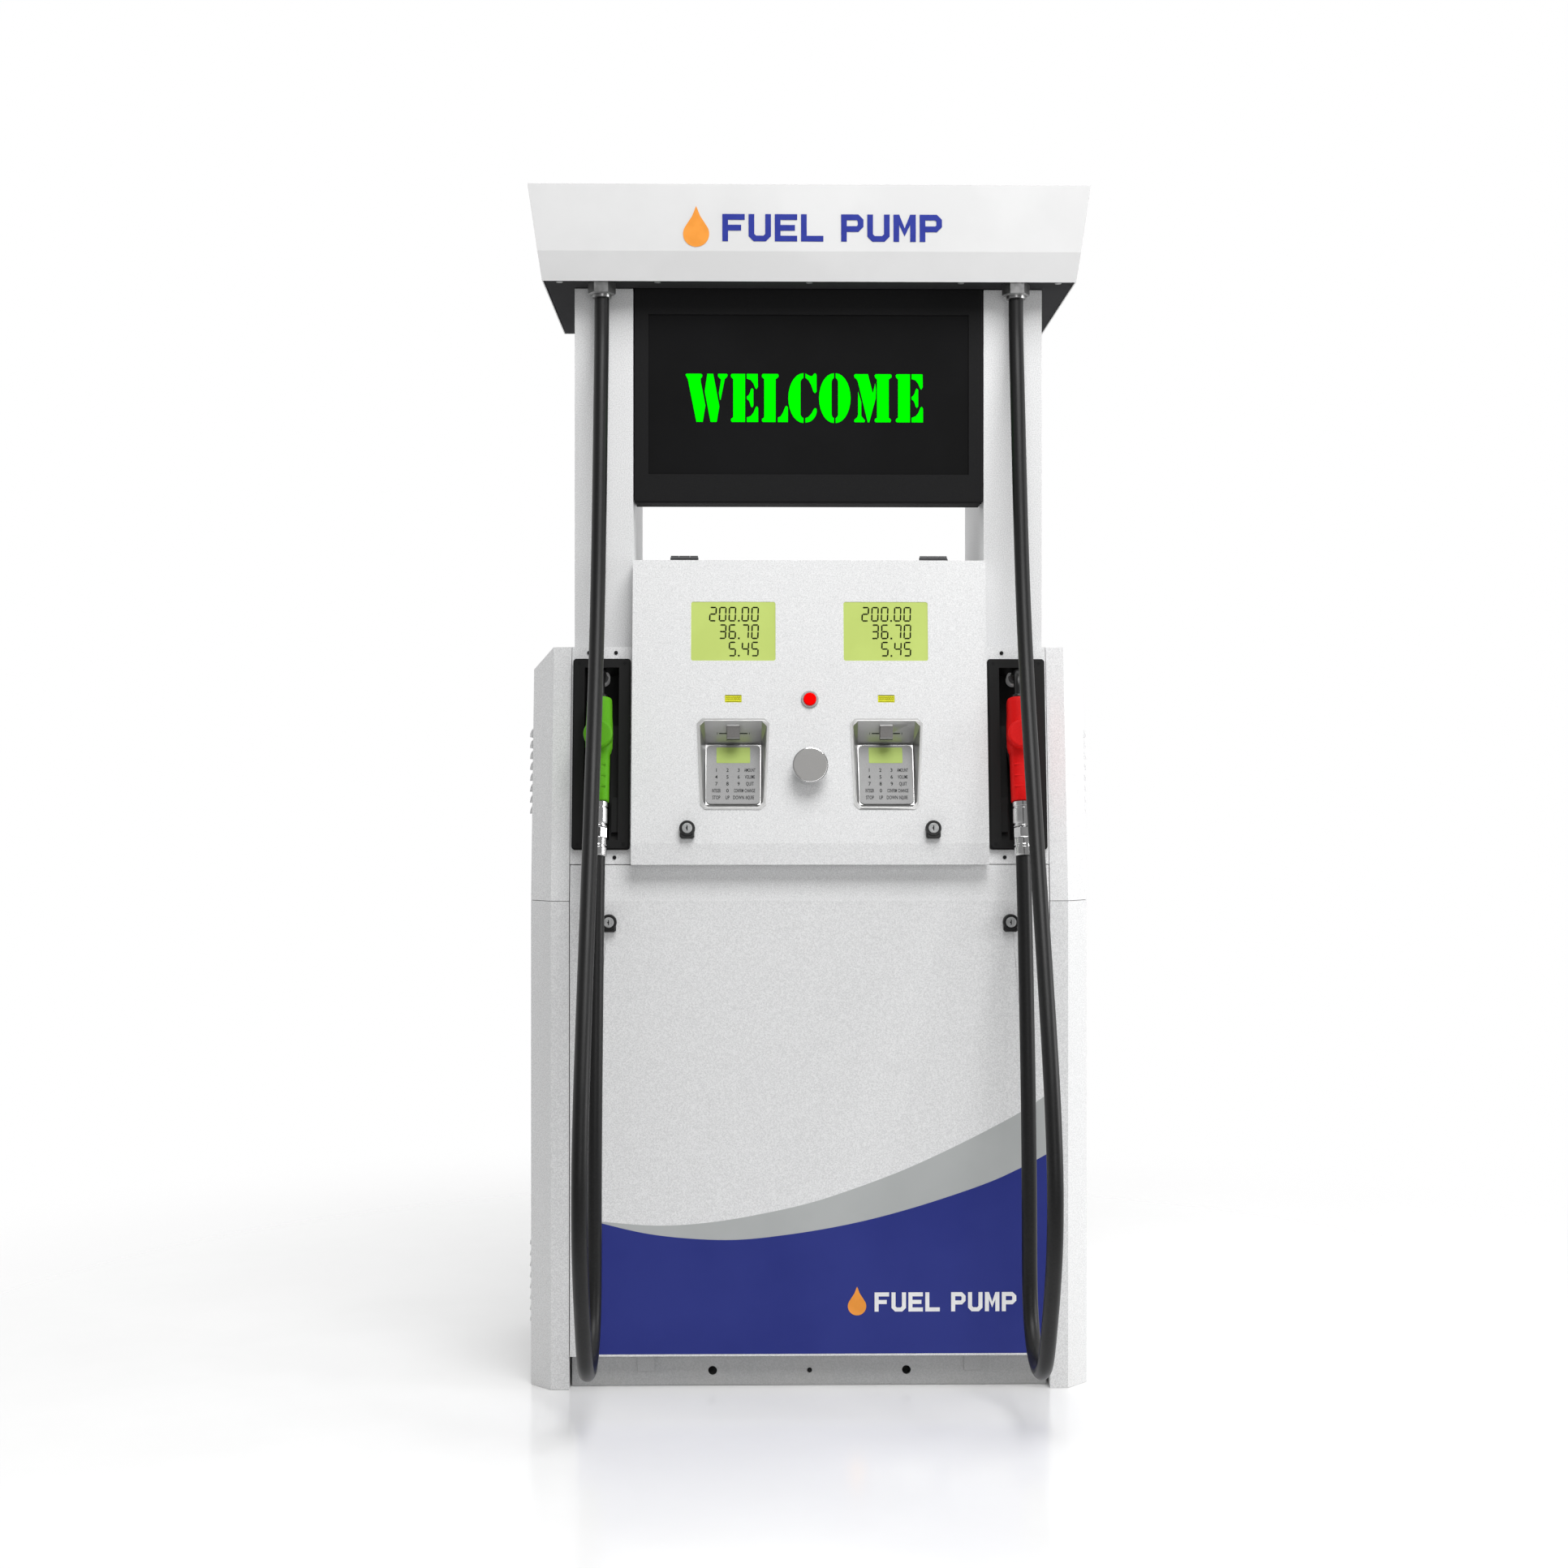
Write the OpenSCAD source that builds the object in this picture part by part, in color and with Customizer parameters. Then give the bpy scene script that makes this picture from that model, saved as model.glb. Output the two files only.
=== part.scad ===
// Fuel dispenser with two hoses: one operator side, suction pump inside.
// Origin: centre of the base on the floor. +Z up, the operator side faces -Y.

/* [Cabinet] */
// Width over the two side covers
cab_w = 1026; // [1016:2:1040]
// Depth over the lower front and rear panels
cab_d = 540; // [536:2:560]
// Height at which the front and rear start to lean back
fold_z = 890; // [880:5:900]
// Height of the shoulder, the top of the side covers
shoulder_z = 1357; // [1350:1:1364]
// How far the front has leaned back at the shoulder
lean_back = 64; // [60:1:66]
// Width of the corner facet on the side covers
facet = 40; // [36:1:42]
// Sheet thickness of covers, panels and door
skin = 2; // [1.5:0.5:2.5]
// Height of the recessed base frame
plinth_h = 57; // [50:1:60]

/* [Head] */
// Outer distance over the two columns
cols_w = 872; // [868:1:874]
// Width of one column
col_w = 109; // [105:1:109]
// Depth of a column
col_d = 354; // [340:2:360]
// Underside of the canopy
canopy_z = 2027; // [2020:1:2034]
// Height of the canopy
canopy_h = 176; // [170:1:182]
// Width of the canopy at its underside
canopy_w = 982; // [976:1:990]
// Width that the canopy has gained at its top
canopy_flare = 52; // [40:2:56]
// Lower edge of the screen housing
screen_z = 1630; // [1625:1:1640]

/* [Control door] */
// Width of the door
door_w = 650; // [646:1:650]
// Lower edge of the door
door_z0 = 957; // [957:1:959]
// Upper edge of the door
door_z1 = 1516; // [1510:1:1520]
// How far the door face stands off the cabinet's leaning front
door_t = 40; // [38:1:42]
// Distance between the two sides' windows, centre to centre
side_pitch = 280; // [276:1:284]
// Diameter of the palm button
palm_d = 65; // [60:1:68]

/* [Nozzles and hoses] */
// Distance between the two boots, centre to centre
boot_pitch = 764; // [762:1:766]
// Diameter of the hose
hose_d = 27; // [25:1:27]
// Angle of a stored nozzle from the vertical
nozzle_lean = 14; // [13:0.5:15]

/* [Hidden] */
$fn = 48;

// Driving positions
half_w = cab_w / 2;
half_d = cab_d / 2;
lean_run = shoulder_z - fold_z;
lean = atan(lean_back / lean_run);
facet_x = half_w - 1 - facet;          // where the flat front strip of a side cover ends
panel_x = 439;                          // where the side covers' front strips begin
gap = 1;                                // gap between neighbouring panels
frame_y = half_d - 27;                  // front face of the recessed base frame
post_y = 200;                           // front face of the corner posts
post_x = 417;                           // inner face of the corner posts
frame_x = 436;                          // outer faces of the base frame and the corner posts
shelf_z = 952;                          // underside of the shelf between pump room and electronics
col_in = cols_w / 2 - col_w;            // inner face of a column
boot_x = boot_pitch / 2;
nozzle_x = boot_x + 2;
hose_x = boot_x + 1;
outlet_y = -213;                        // centre of the hose outlets
screen_y = -col_d / 2;                  // front face of the screen housing
hinge_y = -196;                         // door hinge pin
hinge_z = door_z1 + 5.5;
door_fold_z = 996;                      // fold between the door's leaning face and its upright foot
door_hinge_x = 231;
lock_z = 1022;                          // door locks
lock_x = 223;
panel_lock_z = 852;                     // front panel locks
panel_lock_x = 366;
palm_z = 1134;
red_z = 1258;

// Y of the cabinet's front skin at height z
function front_y(z) = z > fold_z ? -half_d + (z - fold_z) * lean_back / lean_run : -half_d;

motor_y = 60;                           // plane of the motor, pump and meters
riser_y = motor_y;                      // pipes that rise through the columns

// Nozzle axis: a point on it, in Y and Z
nozzle_y = -270;
nozzle_z = 1193;

// Places children on the leaning front skin: local -Y points outwards, local Z runs up the skin
module on_front(x, z, off = 0) {
    translate([x, front_y(z), z]) rotate([-lean, 0, 0]) translate([0, -off, 0]) children();
}
// Same, on the face of the control door
module on_door(x, z) { translate([x, front_y(z) - door_t, z]) rotate([-lean, 0, 0]) children(); }
// Places children on the axis of a stored nozzle
module on_nozzle(s) { translate([s * nozzle_x, nozzle_y, nozzle_z]) rotate([-nozzle_lean, 0, 0]) children(); }
// A cylinder from the skin outwards, from a to b in front of it
module out(r, a, b, r2 = 0) {
    rotate([90, 0, 0]) translate([0, 0, a]) cylinder(r1 = r, r2 = r2 > 0 ? r2 : r, h = b - a);
}
// A box given by its low and high corners
module box(a, b) { translate(a) cube(b - a); }
// Extrudes a Y-Z outline along X, from -w/2 to w/2
module along_x(w) { rotate([90, 0, 90]) translate([0, 0, -w / 2]) linear_extrude(w) children(); }
// A flat rectangle with rounded corners, standing in X-Z, from a to b in front of the skin
module plate(w, h, r, a, b) {
    rotate([90, 0, 0]) translate([0, 0, a]) linear_extrude(b - a) {
        square([w - 2 * r, h], center = true);
        square([w, h - 2 * r], center = true);
        for (x = [-1, 1], z = [-1, 1]) translate([x * (w / 2 - r), z * (h / 2 - r)]) circle(r);
    }
}

// ---------- frame ----------

anchor_x = 400;
anchor_y = 223;
anchor_r = 7;
kick_x = 178;
kick_z = 27;
channel_w = 40;
plate_t = 4;

module base_frame() color("#d9dadb") {
    difference() {
        box([-frame_x, -frame_y, 0], [frame_x, frame_y, plinth_h]);
        // The channel section is open towards the middle
        box([-frame_x + plate_t, -frame_y + plate_t, plate_t], [frame_x - plate_t, frame_y - plate_t, plinth_h - plate_t]);
        box([-frame_x + channel_w + 16, -frame_y + channel_w, -1],
            [frame_x - channel_w - 16, frame_y - channel_w, plinth_h + 1]);
        for (x = [-1, 1], y = [-1, 1]) translate([x * anchor_x, y * anchor_y, -1]) cylinder(r = anchor_r, h = 20);
        // Holes of the kick plate
        for (h = [[-kick_x, 8], [0, 4.5], [kick_x, 8]])
            translate([h[0], -frame_y - 1, kick_z]) rotate([-90, 0, 0]) cylinder(r = h[1], h = 10);
    }
    // Forks and pins that the front and rear panels hang on
    for (m = [0, 1], s = [-1, 1]) mirror([0, m, 0]) translate([s * pivot_x, 0, 0]) {
        box([-16, -frame_y - 3, plinth_h - 30], [16, -frame_y + 1, pivot_z + 5]);
        for (x = [-16, 12.5]) box([x, -pivot_y - 3.5, pivot_z - 4], [x + 3.5, -frame_y, pivot_z + 4]);
        translate([-16, -pivot_y, pivot_z]) rotate([0, 90, 0]) cylinder(r = pivot_pin, h = 32);
    }
}
// Cross plate that carries the motor and the pump stand, open under the inlet flange and the conduit
module cross_plate() color("#c9cbcd") difference() {
    box([-379.5, -112, plinth_h - plate_t], [379.5, 160, plinth_h - 0.05]);
    for (p = [[inlet_x, inlet_y, 66], [conduit_x, conduit_y, 22]])
        translate([p[0] - p[2], p[1] - p[2], 0]) cube([2 * p[2], 2 * p[2], 100]);
}

module tube_post(x, y, z0, z1, w, d) {
    difference() {
        box([x, y, z0], [x + w, y + d, z1]);
        box([x + 2, y + 2, z0 - 1], [x + w - 2, y + d - 2, z1 + 1]);
    }
}

riser_r = 17;

module cabinet_frame() color("#b9bcbf") {
    w = frame_x - post_x;
    for (s = [-1, 1], y = [-post_y, post_y - 30])
        tube_post(s > 0 ? post_x : -frame_x, y, plinth_h, shoulder_z - 3, w, 30);
    // Shelf that parts the pump room from the electronics
    difference() {
        box([-post_x, -post_y, shelf_z], [post_x, post_y, shelf_z + 3]);
        for (s = [-1, 1]) translate([s * hose_x, riser_y, shelf_z - 1]) cylinder(r = riser_r + 1, h = 5);
    }
    // Deck plates that the columns stand on
    for (s = [-1, 1]) difference() {
        box([s > 0 ? col_in : -frame_x, -post_y, shoulder_z - 3], [s > 0 ? frame_x : -col_in, post_y, shoulder_z]);
        translate([s * hose_x, riser_y, shoulder_z - 4]) cylinder(r = riser_r + 1, h = 5);
    }
    // Rails between the posts
    for (s = [-1, 1], z = [300, 1300]) box([s > 0 ? post_x : -frame_x, -post_y + 30, z],
                                           [s > 0 ? frame_x : -post_x, post_y - 30, z + 25]);
}

// ---------- side covers ----------

louvre_n = 8;
louvre_pitch = 20.4;
louvre_out = 8;
louvre_h = 16;
louvre_l = 150;

// One pressed louvre: a quarter-round hood, open below, standing off a face at X = 0
module louvre() {
    arc = [for (a = [0:15:90]) [louvre_out * cos(a), louvre_h * sin(a)]];
    core = [for (a = [90:-15:0]) [(louvre_out - 1.5) * cos(a), (louvre_h - 1.5) * sin(a)]];
    rotate([90, 0, 0]) translate([0, 0, -louvre_l / 2]) {
        linear_extrude(louvre_l) polygon(concat(arc, core));
        for (z = [0, louvre_l - 1.5]) translate([0, 0, z]) linear_extrude(1.5) polygon(concat([[0, 0]], arc));
    }
}
module louvre_rows(z0) {
    for (i = [0:louvre_n - 1], y = [-95, 95]) translate([half_w - 1, y, z0 + i * louvre_pitch]) louvre();
}
module louvre_slots(z0) {
    for (i = [0:louvre_n - 1], y = [-95, 95]) translate([half_w - 1, y, z0 + i * louvre_pitch])
        box([-skin - 1, -louvre_l / 2 + 3, 0], [1, louvre_l / 2 - 3, 9]);
}

// Outline in X-Y of a side cover, t inside its outer faces, yf the front face, xo the outer face
function cover_outline(yf, xo, t) =
    let (k = t * tan(22.5), y = yf + t, x = xo - t, yc = yf + (xo - facet_x) + k)
    [[panel_x, y], [facet_x - k, y], [x, yc], [x, -yc], [facet_x - k, -y], [panel_x, -y]];

module cover_lower() {
    o = cover_outline(-half_d, half_w - 1, 0);
    i = cover_outline(-half_d, half_w - 1, skin);
    difference() {
        linear_extrude(fold_z - 0.5) polygon(concat(o, [for (n = [5:-1:0]) i[n]]));
        louvre_slots(101);
    }
    louvre_rows(101);
    for (y = [-1, 1]) box([panel_x, y > 0 ? half_d - 20 : -half_d + skin, 0],
                          [panel_x + skin, y > 0 ? half_d - skin : -half_d + 20, fold_z - 0.5]);
}

// A thin slice of the upper cover at height z, t inside its outer faces
module cover_slice(z, t) {
    top = facet_x + shoulder_z - z;
    xo = min(half_w - 1, top);
    translate([0, 0, z - 0.01 - t]) linear_extrude(0.01) polygon(cover_outline(front_y(z), xo, t));
}
module cover_upper_solid(t) {
    hull() {
        translate([0, 0, t > 0 ? -20 : 0.51]) cover_slice(fold_z, t);
        cover_slice(shoulder_z - facet, t);
        cover_slice(shoulder_z - 0.5, t);
    }
}
module cover_upper() {
    difference() {
        cover_upper_solid(0);
        intersection() {
            cover_upper_solid(skin);
            box([panel_x + skin, -400, 0], [600, 400, 2000]);
        }
        box([panel_x - 1, -half_d + lean_back + 18, fold_z - 10], [panel_x + skin + 1, half_d - lean_back - 18, 1340]);
        louvre_slots(1048);
    }
    louvre_rows(1048);
}
module side_cover_left_lower() color("#e4e5e6") mirror([1, 0, 0]) cover_lower();
module side_cover_right_lower() color("#e4e5e6") cover_lower();
module side_cover_left_upper() color("#e4e5e6") mirror([1, 0, 0]) cover_upper();
module side_cover_right_upper() color("#e4e5e6") cover_upper();

// ---------- columns, canopy and screen ----------

module column(s) {
    x0 = s > 0 ? col_in : -cols_w / 2;
    difference() {
        box([x0, -col_d / 2, shoulder_z], [x0 + col_w, col_d / 2, canopy_z]);
        box([x0 + skin, -col_d / 2 + skin, shoulder_z - 1], [x0 + col_w - skin, col_d / 2 - skin, canopy_z + 1]);
    }
}
module column_left() color("#dfe0e1") column(-1);
module column_right() color("#dfe0e1") column(1);

canopy_fold = 53;   // height of the canopy's lower, darker band
canopy_y = 238;

module canopy_slice(h, y, t) {
    w = canopy_w + canopy_flare * h / canopy_h;
    translate([-w / 2 + t, -y + t, canopy_z + h]) cube([w - 2 * t, 2 * (y - t), 0.01]);
}
module canopy_solid(t) {
    hull() {
        canopy_slice(t > 0 ? -5 : 0, canopy_y, t);
        canopy_slice(canopy_fold, canopy_y + 10, t);
        canopy_slice(canopy_h - 0.01 - t, canopy_y + 9, t);
    }
}
module canopy_shell() color("#efefef") difference() {
    canopy_solid(0);
    canopy_solid(skin);
}
module canopy_underside() color("#4a4b4d") difference() {
    box([-canopy_w / 2 + 4, -canopy_y + 4, canopy_z + 1], [canopy_w / 2 - 4, canopy_y - 4, canopy_z + 3]);
    for (s = [-1, 1]) {
        translate([s * hose_x, outlet_y, canopy_z]) cylinder(r = 18, h = 10);
        box([s * 382 - 25, -30, canopy_z], [s * 382 + 25, 100, canopy_z + 10]);
    }
}

housing_d = 80;
glass_w = 598;
glass_h = 298;
glass_z = 1830;

module display_housing() color("#262626") difference() {
    box([-325, screen_y, screen_z], [325, screen_y + housing_d, canopy_z]);
    box([-325 + skin, screen_y + 3, screen_z + skin], [325 - skin, screen_y + housing_d - skin, canopy_z - skin]);
    box([-glass_w / 2, screen_y - 1, glass_z - glass_h / 2], [glass_w / 2, screen_y + 4, glass_z + glass_h / 2]);
}
module display_glass() color("#1b1b1b")
    box([-glass_w / 2 - 8, screen_y + 3, glass_z - glass_h / 2 - 8],
        [glass_w / 2 + 8, screen_y + 6, glass_z + glass_h / 2 + 8]);
module display_board() {
    box([-300, screen_y + 12, glass_z - 150], [300, screen_y + 14, glass_z + 150]);
    for (x = [-240:120:240], z = [-90, 0, 90])
        box([x - 50, screen_y + 14, glass_z + z - 38], [x + 50, screen_y + 26, glass_z + z + 38]);
    for (x = [-290, 290], z = [-140, 140]) translate([x, screen_y + 6, glass_z + z])
        rotate([-90, 0, 0]) cylinder(r = 4, h = 6);
}

outlet_drop = 27;
module hose_outlets() color("#c9cbcd") for (s = [-1, 1]) translate([s * hose_x, outlet_y, 0]) {
    // Hexagon nut with turned chamfers, and the thread that passes the underside
    intersection() {
        translate([0, 0, canopy_z - outlet_drop]) cylinder(r = 26, h = outlet_drop + 1, $fn = 6);
        translate([0, 0, canopy_z - outlet_drop]) cylinder(r1 = 22, r2 = 31, h = outlet_drop + 1);
    }
    translate([0, 0, canopy_z + 1]) cylinder(r = 17, h = 19);
}

// ---------- inner panels ----------

// Sheet that fills the front beside the door, with the boot's opening and a top flange
module infill_panels() color("#e4e5e6") for (s = [-1, 1]) {
    x0 = s > 0 ? 327 : -panel_x + 1;
    x1 = s > 0 ? panel_x - 1 : -327;
    difference() {
        intersection() {
            on_front(0, boot_mid) box([x0, 0, -300], [x1, skin, 300]);
            box([-500, -300, door_z0], [500, 0, shoulder_z]);
        }
        on_front(s * boot_x, boot_mid) box([-33.2, -5, -162.2], [33.2, 10, 162.2]);
    }
    box([x0, front_y(shoulder_z) + skin + 0.5, shoulder_z - skin], [x1, -post_y - 0.2, shoulder_z]);
}

module electronics_box() color("#d4d6d8") difference() {
    along_x(door_w) polygon([[front_y(door_z0) + 0.6, door_z0 + 1], [col_d / 2, door_z0 + 1],
                             [col_d / 2, door_z1], [front_y(door_z1) + 0.6, door_z1]]);
    along_x(door_w - 2 * skin) polygon([[-400, door_z0 + 1 + skin], [col_d / 2 - skin, door_z0 + 1 + skin],
                                        [col_d / 2 - skin, door_z1 - skin], [-400, door_z1 - skin]]);
}

module electronics() color("#3d6b46") {
    back = col_d / 2 - skin;
    // Main board on pillars, with chips, terminals and a screened power supply
    box([-290, back - 14, 1080], [20, back - 12, 1300]);
    for (x = [-280, 10], z = [1090, 1290]) translate([x, back - 12, z]) rotate([-90, 0, 0]) cylinder(r = 4, h = 12);
    for (x = [-250:50:-50]) box([x, back - 20, 1150], [x + 30, back - 14, 1180]);
    for (z = [1095, 1255]) box([-260, back - 30, z], [-20, back - 14, z + 20]);
    box([60, back - 60, 1080], [280, back, 1200]);
    box([60, back - 50, 1230], [280, back, 1330]);
    display_board();
}

conduit_x = 315;
conduit_y = 95;
module junction_box() color("#8d9094") difference() {
    union() {
        box([250, 40, plinth_h], [380, 150, plinth_h + 120]);
        for (x = [280, 350]) translate([x, 95, plinth_h + 120]) cylinder(r = 14, h = 16);
    }
    translate([conduit_x, conduit_y, plinth_h - 1]) cylinder(r = 12.5, h = 16);
    box([256, 46, plinth_h + 20], [374, 144, plinth_h + 114]);
}

// ---------- drive and hydraulics ----------

motor_z = 165;
pump_z = 400;
pulley_x = -60;
motor_pulley_r = 45;
pump_pulley_r = 90;
shaft_r = 10;
belt_t = 8;
belt_w = 13;
run = 0.05;          // running clearance of a shaft

// Child is turned so that its Z axis lies along X
module lie_x(x, y, z) { translate([x, y, z]) rotate([0, 90, 0]) children(); }

module motor() color("#4d5b66") {
    difference() {
        union() {
            lie_x(-330, motor_y, motor_z) cylinder(r = 80, h = 220);
            lie_x(-345, motor_y, motor_z) cylinder(r = 70, h = 15);
            lie_x(-110, motor_y, motor_z) cylinder(r = 60, h = 15);
            for (a = [15:15:165]) lie_x(-310, motor_y, motor_z) rotate([0, 0, a + 90])
                box([78, -2, 0], [88, 2, 180]);
            box([-300, motor_y - 45, motor_z + 70], [-200, motor_y + 45, motor_z + 110]);
            box([-310, motor_y - 80, plinth_h], [-130, motor_y + 80, plinth_h + 8]);
            for (x = [-300, -160]) box([x, motor_y - 60, plinth_h + 8], [x + 20, motor_y + 60, motor_z - 30]);
        }
        lie_x(-140, motor_y, motor_z) cylinder(r = shaft_r + run, h = 60);
    }
}
// V-grooved pulley on its shaft: the groove's floor has radius r
module pulley(r, shaft_l) {
    rotate_extrude() polygon([[0, -12], [r + 10, -12], [r + 10, -9], [r, -6], [r, 6], [r + 10, 9],
                              [r + 10, 12], [0, 12]]);
    cylinder(r = shaft_r, h = shaft_l);
    cylinder(r = 22, h = 20);
}
module motor_pulley() color("#9a9da0") lie_x(pulley_x, motor_y, motor_z) mirror([0, 0, 1]) pulley(motor_pulley_r, 70);
module pump_pulley() color("#9a9da0") lie_x(pulley_x, motor_y, pump_z) pulley(pump_pulley_r, 80);

module drive_belt() color("#202020") lie_x(pulley_x - 5, motor_y, 0) linear_extrude(10) difference() {
    hull() {
        translate([-motor_z, 0]) circle(motor_pulley_r + 0.4 + belt_t);
        translate([-pump_z, 0]) circle(pump_pulley_r + 0.4 + belt_t);
    }
    hull() {
        translate([-motor_z, 0]) circle(motor_pulley_r + 0.4);
        translate([-pump_z, 0]) circle(pump_pulley_r + 0.4);
    }
}

module pump_unit() color("#a9adb0") difference() {
    union() {
        box([0, motor_y - 90, pump_z - 100], [190, motor_y + 90, pump_z + 100]);
        lie_x(-25, motor_y, pump_z) cylinder(r = 45, h = 25);
        translate([60, motor_y, pump_z + 100]) cylinder(r = 45, h = 60);
        translate([140, motor_y - 40, pump_z + 100]) cylinder(r = 28, h = 40);
        lie_x(190, motor_y, pump_z - 40) cylinder(r = 60, h = 25);
        // Stand
        for (x = [10, 160]) box([x, motor_y - 80, plinth_h + 5], [x + 20, motor_y - 60, pump_z - 100]);
        for (x = [10, 160]) box([x, motor_y + 60, plinth_h + 5], [x + 20, motor_y + 80, pump_z - 100]);
        box([0, motor_y - 90, plinth_h], [190, motor_y + 90, plinth_h + 5]);
    }
    lie_x(-30, motor_y, pump_z) cylinder(r = shaft_r + run, h = 80);
    lie_x(-26, motor_y, pump_z) cylinder(r = 23, h = 12);
}

meter_x = 250;
meter_z = 640;

module flow_meters() color("#b7babd") for (s = [-1, 1]) translate([s * meter_x, motor_y, meter_z]) difference() {
    union() {
        box([-60, -60, 0], [60, 60, 90]);
        for (a = [0, 90, 180, 270]) rotate([0, 0, a]) translate([60, 0, 45]) rotate([0, 90, 0]) cylinder(r = 34, h = 22);
        translate([0, 0, 90]) cylinder(r = 40, h = 20);
    }
    translate([0, 0, 60]) cylinder(r = 6 + run, h = 60);
}
// Shaft and coded disc of the pulse counter on top of a meter
module meter_rotor(s) translate([s * meter_x, motor_y, meter_z + 62]) {
    cylinder(r = 6, h = 70);
    translate([0, 0, 50]) difference() {
        cylinder(r = 32, h = 6);
        for (a = [0:30:330]) rotate([0, 0, a]) box([18, -2.5, -1], [28, 2.5, 7]);
    }
}
module meter_rotor_left() color("#d8b13c") meter_rotor(-1);
module meter_rotor_right() color("#d8b13c") meter_rotor(1);

valve_z = 860;
module solenoid_valves() color("#b08d3a") for (s = [-1, 1]) translate([s * (hose_x - 5), riser_y, valve_z]) {
    box([-30, -30, 0], [30, 30, 50]);
    translate([0, -30, 25]) rotate([90, 0, 0]) cylinder(r = 24, h = 60);
    translate([0, -90, 25]) rotate([90, 0, 0]) cylinder(r = 8, h = 12);
}

inlet_x = 300;
inlet_y = -30;
inlet_r = 20.5;
pipe_r = 14;

// Straight hollow pipe between two points that differ along one axis only
module pipe(a, b, r) {
    d = b - a;
    l = norm(d);
    translate(a) rotate(d.z != 0 ? [d.z > 0 ? 0 : 180, 0, 0] : d.x != 0 ? [0, d.x > 0 ? 90 : -90, 0] :
                        [d.y > 0 ? -90 : 90, 0, 0]) difference() {
        cylinder(r = r, h = l);
        translate([0, 0, -1]) cylinder(r = r - 3, h = l + 2);
    }
}
// Elbow block at a corner of the pipework
module elbow(p, r) translate(p) sphere(r + 3);

module pipework() color("#7f8488") {
    // Inlet flange, union and suction pipe up to the pump's side
    difference() {
        union() {
            translate([inlet_x, inlet_y, plinth_h]) cylinder(r = 60, h = 16);
            translate([inlet_x, inlet_y, plinth_h]) cylinder(r = 28, h = pump_z - 40 - plinth_h);
            translate([inlet_x, inlet_y, pump_z - 40]) sphere(30);
        }
        translate([inlet_x, inlet_y, plinth_h - 1]) cylinder(r = inlet_r, h = pump_z - 69 - plinth_h);
        for (a = [45:90:315]) translate([inlet_x, inlet_y, plinth_h - 1]) rotate([0, 0, a])
            translate([45, 0, 0]) cylinder(r = 7, h = 20);
    }
    pipe([215, motor_y, pump_z - 40], [inlet_x, motor_y, pump_z - 40], 24);
    elbow([inlet_x, motor_y, pump_z - 40], 24);
    pipe([inlet_x, motor_y, pump_z - 40], [inlet_x, inlet_y + 20, pump_z - 40], 24);
    // Pump outlet, cross header and meter feeds
    pipe([140, motor_y - 40, pump_z + 140], [140, motor_y - 40, 580], pipe_r);
    elbow([140, motor_y - 40, 585], pipe_r);
    pipe([-meter_x, motor_y - 40, 585], [meter_x, motor_y - 40, 585], pipe_r);
    for (s = [-1, 1]) {
        elbow([s * meter_x, motor_y - 40, 585], pipe_r);
        pipe([s * meter_x, motor_y - 40, 585], [s * meter_x, motor_y - 40, meter_z], pipe_r);
        // Meter outlet to the valve
        x1 = s * (meter_x + 82);
        xv = s * (hose_x - 5);
        pipe([x1, motor_y, meter_z + 45], [xv, motor_y, meter_z + 45], pipe_r);
        elbow([xv, motor_y, meter_z + 45], pipe_r);
        pipe([xv, riser_y, meter_z + 45], [xv, riser_y, valve_z], pipe_r);
        // Riser through the column, over the canopy floor and down to the hose outlet
        top_z = canopy_z + 60;
        pipe([s * hose_x, riser_y, valve_z + 50], [s * hose_x, riser_y, top_z], riser_r);
        elbow([s * hose_x, riser_y, top_z], riser_r);
        pipe([s * hose_x, riser_y, top_z], [s * hose_x, outlet_y, top_z], riser_r);
        elbow([s * hose_x, outlet_y, top_z], riser_r);
        pipe([s * hose_x, outlet_y, top_z], [s * hose_x, outlet_y, canopy_z + 20], riser_r);
    }
}

// ---------- service panels ----------

pan_d = 18;
pivot_x = 300;        // hinge pins at the lower edge of the front and rear panels
pivot_y = half_d - 8;
pivot_z = 67;
pivot_pin = 2.5;
knuckle_l = 22;
// Folded pan in Y-Z: from z0 to z1 along the front skin
module pan(w, z0, z1) {
    top_y = front_y(z1);
    fold_in = skin * tan(lean / 2);
    difference() {
        along_x(w) polygon([[-half_d, z0], [-half_d + pan_d, z0], [-half_d + pan_d, fold_z],
                            [top_y + pan_d, z1], [top_y, z1], [-half_d, fold_z]]);
        along_x(w - 2 * skin) polygon([[-half_d + skin, z0 + skin], [-half_d + 40, z0 + skin],
                                       [-half_d + 40, z1 - skin], [top_y + skin, z1 - skin],
                                       [-half_d + skin, fold_z + fold_in]]);
    }
}
panel_w = 2 * (panel_x - 1.5);
panel_z0 = 60;
panel_z1 = 955.5;

// Pan with a hinge knuckle at each pin; its lower flange is cut away around them
module hung_pan() difference() {
    union() {
        difference() {
            pan(panel_w, panel_z0, panel_z1);
            for (s = [-1, 1]) box([s * pivot_x - 20, -half_d + skin + 0.5, panel_z0 - 1],
                                  [s * pivot_x + 20, -half_d + 40, panel_z0 + skin + 1]);
        }
        for (s = [-1, 1]) translate([s * pivot_x - knuckle_l / 2, 0, 0]) {
            translate([0, -pivot_y, pivot_z]) rotate([0, 90, 0]) cylinder(r = 5, h = knuckle_l);
            box([0, -half_d + skin - 0.5, pivot_z - 3], [knuckle_l, -pivot_y, pivot_z + 3]);
        }
    }
    for (s = [-1, 1]) translate([s * pivot_x - 20, -pivot_y, pivot_z]) rotate([0, 90, 0])
        cylinder(r = pivot_pin + run, h = 40);
}
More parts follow.
